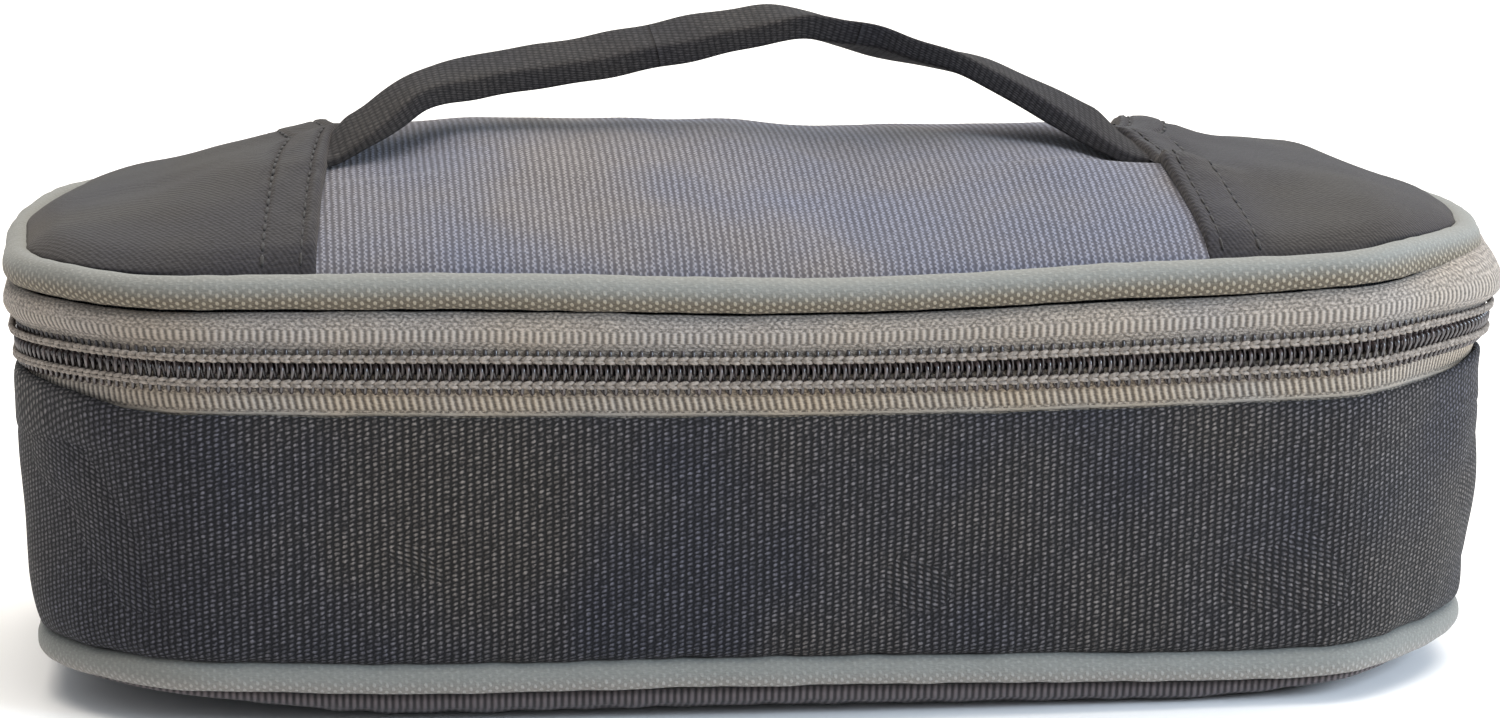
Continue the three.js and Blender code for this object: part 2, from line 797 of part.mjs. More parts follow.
function sliderBody() {
  const reach = sliderLength / 2;
  const flangeFoot = halfDepth - tapeOuterInset + touchGap;
  const flangeTop = frontPlateY + sliderPlate / 2;
  const flangeReach = reach - sliderNoseRound;
  const flange = (low, high) => box(-flangeReach, flangeReach, flangeFoot, flangeTop, low, high);
  const post = new THREE.Shape();
  const [postHalf, postTall] = [sliderPostLength / 2, toothParting() / 2];
  post.moveTo(-postHalf, 0);
  post.lineTo(0, -postTall);
  post.lineTo(postHalf, 0);
  post.lineTo(0, postTall);
  const postDepth = frontPlateY - rearPlateY + sliderPlate;
  const postSolid = acrossWall(post, postDepth, rearPlateY - sliderPlate / 2, 1);
  postSolid.translate(sliderPostForward, 0, 0);
  return joined(
    sliderPlateAt(frontPlateY),
    sliderPlateAt(rearPlateY - sliderPlate),
    flange(flangeInner, sliderHalfWidth),
    flange(-sliderHalfWidth, -flangeInner),
    postSolid,
    sliderBridge(),
  );
}

// Room between the tips of the spread chain halves, less a running gap on each side.
function toothParting() {
  return 2 * (chainSpread - toothEngagement / 2 - touchGap);
}

function sliderBridge() {
  const outline = new THREE.Shape();
  const foot = frontPlateY + sliderPlate / 2;
  const [half, top] = [bridgeLength / 2, bridgeBarY + bridgeBar / 2];
  outline.moveTo(-half, foot);
  outline.lineTo(half, foot);
  outline.lineTo(half - bridgeBar / 2, top);
  outline.lineTo(-half + bridgeBar / 2, top);
  const under = new THREE.Path();
  under.moveTo(-half + bridgeBar, foot + sliderPlate / 2);
  under.lineTo(-half + bridgeBar, top - bridgeBar);
  under.lineTo(half - bridgeBar, top - bridgeBar);
  under.lineTo(half - bridgeBar, foot + sliderPlate / 2);
  outline.holes.push(under);
  const bridge = new THREE.ExtrudeGeometry(outline, { depth: bridgeWidth, bevelEnabled: false });
  return bridge.translate(0, 0, -bridgeWidth / 2);
}

// Pull: an eye round the slider's bridge and a flat tab that hangs from it.
function pullTab() {
  const eye = new THREE.Shape();
  eye.absarc(0, 0, pullEyeRadius + pullWire, 0, 2 * Math.PI, false);
  const hole = new THREE.Path();
  hole.absarc(0, 0, pullEyeRadius, 0, 2 * Math.PI, true);
  eye.holes.push(hole);
  const settings = { depth: pullEyeWidth, bevelEnabled: false, curveSegments: eyeCurveSteps };
  const ring = new THREE.ExtrudeGeometry(eye, settings);
  ring.translate(0, 0, -pullEyeWidth / 2).rotateY(Math.PI / 2);
  const tab = new THREE.Shape();
  const half = pullWidth / 2;
  const top = -(pullEyeRadius + pullWire / 2);
  tab.moveTo(-pullEyeWidth, top);
  tab.lineTo(-half, top - half);
  tab.lineTo(-half, top - pullLength + half);
  tab.absarc(0, top - pullLength + half, half, Math.PI, 2 * Math.PI, false);
  tab.lineTo(half, top - half);
  tab.lineTo(pullEyeWidth, top);
  const tabHole = new THREE.Path();
  tabHole.absarc(0, top - pullLength + half, pullHoleRadius, 0, 2 * Math.PI, true);
  tab.holes.push(tabHole);
  const plate = acrossWall(tab, pullThickness, -pullThickness / 2, pullCurveSteps);
  return joined(ring, plate);
}

function piece(name, geometry, material) {
  const mesh = new THREE.Mesh(geometry, material);
  mesh.name = name;
  return mesh;
}

const tub = new THREE.Group();
tub.add(
  piece("base_panel", basePanel(), fabric(baseBlack)),
  piece("base_foam", baseFoam(), fabric(foamWhite)),
  piece("base_lining", baseLining(), foil(liningSilver)),
  piece(
    "bottom_piping_cover",
    pipingCover(lowerPipingDiameter, lowerPipingCentreInset, lowerPipingHeight),
    fabric(pipingGrey),
  ),
  piece(
    "bottom_piping_cord",
    pipingCord(lowerPipingDiameter, lowerPipingCentreInset, lowerPipingHeight),
    fabric(foamWhite),
  ),
  piece("bottom_seam_binding", bottomSeamBinding(), fabric(bindingBlack)),
  piece("wall_panel", wallPanel(), fabric(charcoal)),
  piece("wall_foam", wallFoam(), fabric(foamWhite)),
  piece("wall_lining", wallLining(), foil(liningSilver)),
  piece("lower_zip_tape", lowerZipTape(), fabric(tapeGrey)),
  piece("lower_zip_coil", coilHalf(zipStart, zipEnd, 1), fabric(coilBlack)),
  piece("upper_zip_tape_end", upperZipTapeEnd(), fabric(tapeGrey)),
  piece("upper_zip_coil_end", coilHalf(loadStart, zipEnd, -1), fabric(coilBlack)),
  piece(
    "hinge_gusset_lower",
    hingeGusset(wallTopHeight - wallHemDepth, zipHeight - hingeFoldGap / 2),
    fabric(charcoal),
  ),
);

const pipingTop = [upperPipingDiameter, upperPipingDiameter / 2, upperPipingHeight];
const lid = new THREE.Group();
lid.add(
  piece("lid_centre_panel", lidCentrePanel(), fabric(panelBlueGrey)),
  piece("lid_end_panel_left", lidEndPanel(-1), fabric(panelGrey)),
  piece("lid_end_panel_right", lidEndPanel(1), fabric(panelGrey)),
  piece(
    "lid_foam",
    crownLayer(lidLayerInset, -panelThickness - touchGap, foamThickness),
    fabric(foamWhite),
  ),
  piece(
    "lid_lining",
    crownLayer(lidLayerInset, -panelThickness - foamThickness - 2 * touchGap, liningThickness),
    foil(liningSilver),
  ),
  piece("top_piping_cover", pipingCover(...pipingTop), fabric(pipingGrey)),
  piece("top_piping_cord", pipingCord(...pipingTop), fabric(foamWhite)),
  piece("top_seam_binding", topSeamBinding(), fabric(bindingBlack)),
  piece("upper_zip_tape", upperZipTape(), fabric(tapeGrey)),
  piece("upper_zip_tape_edge", upperZipTapeSewnEdge(), fabric(tapeGrey)),
  piece("upper_zip_coil", coilHalf(zipStart, loadStart - touchGap, -1), fabric(coilBlack)),
  piece("hinge_gusset_upper", hingeGusset(zipHeight + hingeFoldGap / 2, upperTapeTop), fabric(charcoal)),
  piece("handle_end_left", handleEnd(-1), fabric(handleGrey)),
  piece("handle_end_right", handleEnd(1), fabric(handleGrey)),
  piece("handle_strap", handleStrap(), fabric(handleGrey)),
);

const slider = new THREE.Group();
slider.position.set(sliderX, 0, zipHeight);
const pull = piece("pull_tab", pullTab(), paintedMetal(sliderBlack));
pull.position.y = bridgeBarY;
slider.add(piece("slider_body", sliderBody(), paintedMetal(sliderBlack)), pull);

const lunchBag = new THREE.Group();
lunchBag.add(tub, lid, slider);

export default lunchBag;
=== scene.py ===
"""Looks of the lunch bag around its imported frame. Shapes are worked out in millimetres, with X along
the bag, -Y towards its front and Z up, and become metres when a mesh is made."""
import math

import bmesh
import bpy
import numpy as np
from mathutils import Matrix, Vector


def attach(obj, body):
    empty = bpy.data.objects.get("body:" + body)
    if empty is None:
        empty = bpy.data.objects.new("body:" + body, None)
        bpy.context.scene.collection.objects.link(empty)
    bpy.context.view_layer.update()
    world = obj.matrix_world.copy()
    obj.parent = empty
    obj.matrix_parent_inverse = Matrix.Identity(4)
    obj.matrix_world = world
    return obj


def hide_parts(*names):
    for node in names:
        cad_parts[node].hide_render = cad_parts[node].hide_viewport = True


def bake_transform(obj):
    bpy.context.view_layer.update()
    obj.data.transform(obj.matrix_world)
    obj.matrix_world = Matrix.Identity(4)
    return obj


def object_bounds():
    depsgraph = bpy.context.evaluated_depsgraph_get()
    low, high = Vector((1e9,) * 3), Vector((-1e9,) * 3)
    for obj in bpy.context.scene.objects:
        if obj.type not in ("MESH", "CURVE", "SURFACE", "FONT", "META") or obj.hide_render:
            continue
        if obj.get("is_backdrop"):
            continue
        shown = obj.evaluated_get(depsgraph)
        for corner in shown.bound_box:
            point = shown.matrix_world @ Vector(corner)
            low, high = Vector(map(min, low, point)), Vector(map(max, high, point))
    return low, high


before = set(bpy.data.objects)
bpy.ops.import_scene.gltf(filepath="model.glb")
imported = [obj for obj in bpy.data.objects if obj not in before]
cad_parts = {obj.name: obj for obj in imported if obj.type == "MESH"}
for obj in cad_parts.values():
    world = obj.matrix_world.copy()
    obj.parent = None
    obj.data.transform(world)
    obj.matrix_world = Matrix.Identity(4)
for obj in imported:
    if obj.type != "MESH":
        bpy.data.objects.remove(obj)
cad_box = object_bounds()

MM = 0.001
TURN = 2 * math.pi

# The frame's own sizes
HALF_LENGTH = 120.0
HALF_DEPTH = 60.0
CORNER = 34.0
HINGE_HALF = 55.0
ZIP_HEIGHT = 57.0
ZIP_PITCH = 1.6
SLIDER_MOUTH = 85.8
SEAM_INSET = 6.0
SEAM_HEIGHT = 70.0
CROWN_RISE = 16.0
CROWN_ROUNDNESS = 2.2
SEAM_ROLL = 1.5
RIDGE_HALF = 66.0
UPPER_PIPING = (2.85, 69.5, 2.85)
LOWER_PIPING = (5.2, 8.5, 2.4)

# Camera: millimetres and radians, and pixels of the 1500 x 718 picture
CAMERA_DISTANCE = 800.0
CAMERA_HEIGHT = 192.7
CAMERA_YAW = 0.1
CAMERA_PITCH = 0.179
CAMERA_ROLL = 0.001
CAMERA_FOCAL_PIXELS = 4862.0
CAMERA_CENTRE = (749.0, 353.0)
PICTURE = (1500, 718)
SENSOR = 36.0

# How the filled bag has slumped: places along it, and how far its front lies above the neat shape
# at the lower piping, at the zip and at the upper piping
SLUMP_PLACES = (-112, -102, -87, -71, -49, -25, 0, 25, 50, 71, 88, 101, 111)
SLUMP_HEIGHTS = (8.5, 57.0, 69.5)
SLUMP_RISES = (
    (0.1, 0.0, 0.1, -0.35, -0.6, -0.4, -0.4, -0.8, -1.35, -1.9, -1.7, -1.0, -0.9),
    (0.9, 0.9, 0.9, 0.65, 0.3, -0.15, -0.5, -0.6, -0.35, 0.0, 0.4, 1.0, 1.2),
    (0.0, -0.4, 0.0, 0.0, -0.1, -0.95, -1.65, -1.25, -0.3, 0.2, 0.9, 1.4, 1.4),
)
# How far the ends lie to the right of the neat shape, at heights up the bag
END_HEIGHTS = (8.5, 18.0, 30.0, 40.0, 50.0, 57.0, 63.5, 69.5)
LEFT_SHIFTS = (-0.5, -1.0, -0.5, -0.7, -0.5, -0.2, -1.7, -1.35)
RIGHT_SHIFTS = (-2.75, -2.1, -1.5, -1.9, -3.1, -1.3, -0.8, -4.0)
RIGHT_BACK_SHARE = 0.1
# How far the rim's ends bulge outwards, at distances from front to back
END_PLACES = (-60, -42, -24, -12, -4, 2, 10, 18, 25, 34, 45, 60)
LEFT_BULGES = (0, 0, 0.35, 0.6, 0.9, 0.9, 0.5, 0, -1.2, -1.75, -1.0, -0.3)
RIGHT_BULGES = (0, 0, 0.2, 0.8, 0.9, 0.9, -0.4, -1.9, -4.2, -5.0, -4.5, -3.0)
# How far the crown of the lid lies above its neat shape
CROWN_PLACES = (-112, -97, -87, -77, -68, -49, -32, -18, -2, 8, 18, 33, 50, 60, 71, 80, 90, 99, 108)
CROWN_RISES = (
    -1.6, -2.4, -2.2, -1.8, -0.3, 0.8, 1.1, 1.4, 0.3, -1.2,
    -1.2, -0.7, -0.5, -1.5, -2.2, -4.6, -3.6, -2.1, -3.0,
)
# How far each corner, given by the signs of its x and y, is pulled inwards
CORNER_PULLS = {(-1, -1): 1.5, (1, -1): 2.0}
# How far the front bows out, and half of the bow's length
FRONT_BOW = 4.5
BOW_HALF = 104.0
# Between which places each change sets in: distances towards the front for the rise and the bow,
# y for the right end's shift, x for all shifts, z for the bulges and for the crown
RISE_STARTS = (0, 55)
BOW_STARTS = (10, 58)
RIGHT_SHIFT_FADES = (-42, -4)
SHIFT_STARTS = (HALF_LENGTH - CORNER, HALF_LENGTH - 6)
BULGE_STARTS = (ZIP_HEIGHT - 12, ZIP_HEIGHT + 9)
CROWN_STARTS = (SEAM_HEIGHT, SEAM_HEIGHT + 13)
# The largest share of its height that a point sinks, so that the base lies on the ground
PRESSED = 0.85


def smooth(value, low, high):
    """0 below low, 1 above high and an even bend between them."""
    t = np.clip((value - low) / (high - low), 0.0, 1.0)
    return t * t * (3 - 2 * t)


def hump(value, rise, fall):
    """0, then 1 after value has passed the two places in rise, then 0 again past those in fall."""
    return smooth(value, *rise) * (1 - smooth(value, *fall))


def straight_leg(x, y, nx, ny, length):
    return length, lambda run: (x + ny * run, y - nx * run, nx + 0 * run, ny + 0 * run)


def corner_leg(x, y, start):
    def at(run):
        angle = start - run / CORNER
        nx, ny = np.cos(angle), np.sin(angle)
        return x + CORNER * nx, y + CORNER * ny, nx, ny

    return CORNER * math.pi / 2, at


FLAT_X = HALF_LENGTH - CORNER
FLAT_Y = HALF_DEPTH - CORNER
LEGS = (
    straight_leg(0, HALF_DEPTH, 0, 1, FLAT_X),
    corner_leg(FLAT_X, FLAT_Y, math.pi / 2),
    straight_leg(HALF_LENGTH, FLAT_Y, 1, 0, 2 * FLAT_Y),
    corner_leg(FLAT_X, -FLAT_Y, 0),
    straight_leg(FLAT_X, -HALF_DEPTH, 0, -1, 2 * FLAT_X),
    corner_leg(-FLAT_X, -FLAT_Y, -math.pi / 2),
    straight_leg(-HALF_LENGTH, -FLAT_Y, -1, 0, 2 * FLAT_Y),
    corner_leg(-FLAT_X, FLAT_Y, math.pi),
    straight_leg(-FLAT_X, HALF_DEPTH, 0, 1, FLAT_X),
)
ROUND = sum(length for length, _ in LEGS)
ZIP_START = HINGE_HALF + 0.3
ZIP_END = ROUND - HINGE_HALF - 0.3
MOUTH = ROUND - SLIDER_MOUTH


def outline(walked):
    """Plan x, y and outward normal at distances walked clockwise from the middle of the back."""
    walked = np.mod(np.asarray(walked, float), ROUND)
    found = np.zeros((4, len(walked)))
    begin = 0.0
    for length, at in LEGS:
        here = (walked >= begin) & (walked <= begin + length)
        found[:, here] = at(walked[here] - begin)
        begin += length
    return found


def band(walked, insets, heights):
    """Points at insets and heights, one row for each place walked to."""
    x, y, nx, ny = (row[:, None] for row in outline(walked))
    insets, heights = np.broadcast_arrays(insets, heights)
    insets = np.broadcast_to(insets, (len(walked), insets.shape[-1]))
    heights = np.broadcast_to(heights, insets.shape)
    return np.stack([x - nx * insets, y - ny * insets, heights], -1)


def through(x, places, values):
    """A smooth curve through values at places."""
    places, values = np.asarray(places, float), np.asarray(values, float)
    slopes = np.gradient(values, places)
    k = np.clip(np.searchsorted(places, x) - 1, 0, len(places) - 2)
    step = places[k + 1] - places[k]
    t = np.clip((x - places[k]) / step, 0, 1)
    rise = values[k + 1] - values[k]
    ends = slopes[k] * step * t * (1 - t) ** 2 - slopes[k + 1] * step * t * t * (1 - t)
    return values[k] + rise * t * t * (3 - 2 * t) + ends


def front_rise(x, z):
    """How far the bag's front rises at x and z."""
    rows = [through(x, SLUMP_PLACES, row) for row in SLUMP_RISES]
    low, middle, high = SLUMP_HEIGHTS
    upper = np.clip((z - middle) / (high - middle), 0, 1)
    lower = np.clip((z - low) / (middle - low), 0, 1)
    above = rows[1] + (rows[2] - rows[1]) * upper
    below = rows[0] + (rows[1] - rows[0]) * lower
    return np.where(z > middle, above, below)


def crown_rise(x, z):
    """How far the top of the lid rises at x and z."""
    return through(x, CROWN_PLACES, CROWN_RISES) * smooth(z, *CROWN_STARTS)


def slumped(points):
    """Where points of the neat bag lie in the filled one. Its back stays in place."""
    x, y, z = points[..., 0], points[..., 1], points[..., 2]
    rise = front_rise(x, z) * smooth(-y, *RISE_STARTS)
    rise = np.maximum(rise + crown_rise(x, z), -PRESSED * np.maximum(z, 0))
    left, right = (through(z, END_HEIGHTS, row) for row in (LEFT_SHIFTS, RIGHT_SHIFTS))
    right = right * (1 - (1 - RIGHT_BACK_SHARE) * smooth(y, *RIGHT_SHIFT_FADES))
    left_bulge, right_bulge = (through(y, END_PLACES, row) for row in (LEFT_BULGES, RIGHT_BULGES))
    bulge = np.sign(x) * np.where(x < 0, left_bulge, right_bulge) * smooth(z, *BULGE_STARTS)
    shift = (np.where(x < 0, left, right) + bulge) * smooth(np.abs(x), *SHIFT_STARTS)
    bow = FRONT_BOW * np.clip(1 - (x / BOW_HALF) ** 2, 0, 1) * smooth(-y, *BOW_STARTS)
    out_x, out_y = np.maximum(np.abs(x) - FLAT_X, 0), np.maximum(np.abs(y) - FLAT_Y, 0)
    reach = np.maximum(np.hypot(out_x, out_y), 1e-9)
    square = (2 * out_x * out_y / reach**2) ** 2 * np.minimum(reach / CORNER, 1)
    pull = sum(
        amount * square * (np.sign(x) == side) * (np.sign(y) == end)
        for (side, end), amount in CORNER_PULLS.items()
    )
    new_x = x + shift - np.sign(x) * pull * out_x / reach
    new_y = y - bow - np.sign(y) * pull * out_y / reach
    return np.stack([new_x, new_y, z + rise], -1)


WAVES = 7
THREAD_SIDES = 6


def ripple(u, v, wavelength, seed):
    """A smooth random wave, about 1 high, that meets itself after one walk round the bag."""
    random = np.random.default_rng(seed)
    total = 0.0
    for _ in range(WAVES):
        angle, phase = random.uniform(0, TURN, 2)
        stretch = random.uniform(0.6, 1.6) / wavelength
        turns = round(ROUND * math.cos(angle) * stretch)
        total = total + np.cos(TURN * (u * turns / ROUND + v * math.sin(angle) * stretch) + phase)
    return total / math.sqrt(WAVES)


def spaced(start, end, step):
    """Evenly spaced places from start to end, about a step apart."""
    return np.linspace(start, end, max(2, int(round((end - start) / step)) + 1))


def softened(points, times, is_loop):
    """A line of points with its corners cut, which rounds them."""
    points = np.asarray(points, float)
    for _ in range(times):
        ahead = np.roll(points, -1, 0)
        cut = np.stack([0.75 * points + 0.25 * ahead, 0.25 * points + 0.75 * ahead], 1)
        if is_loop:
            points = cut.reshape(-1, points.shape[1])
        else:
            inner = cut[:-1].reshape(-1, points.shape[1])
            points = np.vstack([points[:1], inner, points[-1:]])
    return points


def running_sum(steps):
    """Distances from the start after each step, with the start itself first."""
    return np.concatenate([[0], np.cumsum(steps)])


def evenly(points, step, is_loop):
    """The same line with points about a step apart, and each one's distance from the start."""
    points = np.asarray(points, float)
    if is_loop:
        points = np.vstack([points, points[:1]])
    run = running_sum(np.linalg.norm(np.diff(points, axis=0), axis=1))
    at = spaced(0, run[-1], step)
    found = np.stack([np.interp(at, run, points[:, k]) for k in range(points.shape[1])], 1)
    return (found[:-1] if is_loop else found), at


def linked(name, data):
    """A new object in the scene."""
    made = bpy.data.objects.new(name, data)
    bpy.context.scene.collection.objects.link(made)
    return made


def mesh_object(name, points, faces, uvs=None):
    """A smooth-shaded object from points in millimetres, with faces turned outwards. The caps, which
    have more than four corners, are flat, so that they don't shade the skin beside them."""
    mesh = bpy.data.meshes.new(name)
    mesh.from_pydata((np.asarray(points) * MM).tolist(), [], faces)
    mesh.polygons.foreach_set("use_smooth", [len(face) <= 4 for face in faces])
    if uvs is not None:
        layer = mesh.uv_layers.new(name="cloth")
        layer.data.foreach_set("uv", np.asarray(uvs, np.float32).ravel())
    mesh.validate()
    return linked(name, mesh)


def volume(points, faces):
    """The signed volume inside quads; below zero when they face inwards."""
    a, b, c, d = (points[faces[:, k]] for k in range(4))
    first = np.einsum("ij,ij->", a, np.cross(b, c))
    return first + np.einsum("ij,ij->", a, np.cross(c, d))


def grid(name, points, u, v, capped=True):
    """A skin of quads through a grid of points. u and v are the cloth's own coordinates in
    millimetres, and have one value more than there are points where the skin closes on itself.
    A strip that ends is capped at its ends."""
    n, m = points.shape[:2]
    i, j = np.meshgrid(np.arange(len(u) - 1), np.arange(len(v) - 1), indexing="ij")
    corners = ((i, j), (i + 1, j), (i + 1, j + 1), (i, j + 1))
    faces = np.stack([(a % n) * m + b % m for a, b in corners], -1).reshape(-1, 4)
    uvs = np.stack([np.stack([u[a], v[b]], -1) for a, b in corners], -2).reshape(-1, 4, 2)
    flat = points.reshape(-1, 3)
    is_inside_out = volume(flat, faces) < 0
    if is_inside_out:
        faces, uvs = faces[:, ::-1], uvs[:, ::-1]
    faces = faces.tolist()
    uvs = uvs.reshape(-1, 2)
    if capped:
        first = list(range(m))
        last = [(n - 1) * m + k for k in range(m)]
        caps = [first, last[::-1]] if is_inside_out else [first[::-1], last]
        for cap in caps:
            faces.append(cap)
            uvs = np.vstack([uvs, flat[cap][:, :2]])
    return mesh_object(name, flat, faces, uvs)


def swept(name, profile, walked, relief, step, softening, swell=None):
    """A closed profile of insets and heights swept round the bag, or along a part of it.
    relief moves the skin outwards by a distance that depends on both cloth coordinates, and swell
    gives the profile new insets and heights from the place along the walk."""
    line, v = evenly(softened(profile, softening, True), step, True)
    ahead, behind = np.roll(line, -1, 0), np.roll(line, 1, 0)
    tangent = ahead - behind
    tangent /= np.maximum(np.linalg.norm(tangent, axis=1, keepdims=True), 1e-9)
    spin = np.sum(line[:, 0] * ahead[:, 1] - ahead[:, 0] * line[:, 1])
    normal = np.stack([tangent[:, 1], -tangent[:, 0]], 1) * (1 if spin > 0 else -1)
    is_loop = abs(walked[-1] - walked[0] - ROUND) < 1e-6
    places = walked[:-1] if is_loop else walked
    lift = 0.0
    if relief is not None:
        lift = relief(places[:, None], v[None, :-1], line[None, :, 0], line[None, :, 1])
    insets = line[None, :, 0] + normal[None, :, 0] * lift
    heights = line[None, :, 1] + normal[None, :, 1] * lift
    if swell is not None:
        insets, heights = swell(places[:, None], insets, heights)
    shape = (len(places), len(line))
    points = band(places, np.broadcast_to(insets, shape), np.broadcast_to(heights, shape))
    return grid(name, slumped(points), walked, v, not is_loop)


def whole_round(step):
    return spaced(0, ROUND, step)


def strands(name, paths, radii):
    """Short threads as one mesh: each path is a row of points, with a radius at each point."""
    sides = THREAD_SIDES
    paths = slumped(np.asarray(paths, float))
    ahead = np.gradient(paths, axis=1)
    ahead /= np.maximum(np.linalg.norm(ahead, axis=2, keepdims=True), 1e-9)
    helper = np.where(np.abs(ahead[..., 2:]) < 0.9, [0, 0, 1.0], [1.0, 0, 0])
    side = np.cross(ahead, helper)
    side /= np.linalg.norm(side, axis=2, keepdims=True)
    other = np.cross(side, ahead)
    angle = TURN * np.arange(sides) / sides
    spokes = side[:, :, None] * np.cos(angle)[:, None] + other[:, :, None] * np.sin(angle)[:, None]
    points = paths[:, :, None] + spokes * np.asarray(radii)[None, :, None, None]
    count, rings = paths.shape[:2]
    per = rings * sides
    ring, k = np.meshgrid(np.arange(rings - 1) * sides, np.arange(sides), indexing="ij")
    following = (k + 1) % sides
    quads = np.stack([ring + k, ring + k + sides, ring + following + sides, ring + following], -1)
    caps = np.array([list(range(sides)), list(range(per - 1, per - sides - 1, -1))])
    begin = per * np.arange(count)[:, None, None]
    quads = (quads.reshape(1, -1, 4) + begin).reshape(-1, 4).tolist()
    caps = (caps[None] + begin).reshape(-1, sides).tolist()
    made = mesh_object(name, points.reshape(-1, 3), quads + caps)
    outwards(made)
    return made


def outwards(made):
    """Turns an object's faces outwards."""
    work = bmesh.new()
    work.from_mesh(made.data)
    bmesh.ops.recalc_face_normals(work, faces=work.faces)
    work.to_mesh(made.data)
    work.free()


def tube(name, path, radii, sides):
    """A round tube along a path of points, with a radius at each, closed at both ends."""
    path = slumped(path)
    ahead = np.gradient(path, axis=0)
    ahead /= np.linalg.norm(ahead, axis=1, keepdims=True)
    side = np.zeros_like(path)
    current = np.cross(ahead[0], [0, 0, 1.0])
    if np.linalg.norm(current) < 1e-6:
        current = np.cross(ahead[0], [1.0, 0, 0])
    for k, forward in enumerate(ahead):
        current = current - forward * np.dot(current, forward)
        current = current / np.linalg.norm(current)
        side[k] = current
    other = np.cross(ahead, side)
    angle = TURN * np.arange(sides) / sides
    spokes = side[:, None] * np.cos(angle)[:, None] + other[:, None] * np.sin(angle)[:, None]
    points = path[:, None] + spokes * np.asarray(radii)[:, None, None]
    run = running_sum(np.linalg.norm(np.diff(path, axis=0), axis=1))
    around = TURN * np.mean(radii) * np.arange(sides + 1) / sides
    return grid(name, points, run, around)


class Field:
    """A number that varies over a surface, with the arithmetic of shader nodes."""

    def __init__(self, tree, socket):
        self.tree = tree
        self.socket = socket

    def made(self, operation, *others):
        node = self.tree.nodes.new("ShaderNodeMath")
        node.operation = operation
        for slot, value in zip(node.inputs, (self, *others)):
            if isinstance(value, Field):
                self.tree.links.new(value.socket, slot)
            else:
                slot.default_value = value
        return Field(self.tree, node.outputs[0])

    def __add__(self, other):
        return self.made("ADD", other)

    def __sub__(self, other):
        return self.made("SUBTRACT", other)

    def __mul__(self, other):
        return self.made("MULTIPLY", other)

    def __truediv__(self, other):
        return self.made("DIVIDE", other)

    def power(self, other):
        return self.made("POWER", other)

    def floor(self):
        return self.made("FLOOR")

    def fraction(self):
        return self.made("FRACT")

    def absolute(self):
        return self.made("ABSOLUTE")

    def larger(self, other):
        return self.made("MAXIMUM", other)

    def wave(self):
        """0 to 1 and back once for each whole number."""
        return (self * TURN).made("COSINE") * -0.5 + 0.5

    def ramp(self, low, high):
        node = self.tree.nodes.new("ShaderNodeMapRange")
        node.interpolation_type = "SMOOTHSTEP"
        self.tree.links.new(self.socket, node.inputs["Value"])
        node.inputs["From Min"].default_value = low
        node.inputs["From Max"].default_value = high
        return Field(self.tree, node.outputs["Result"])


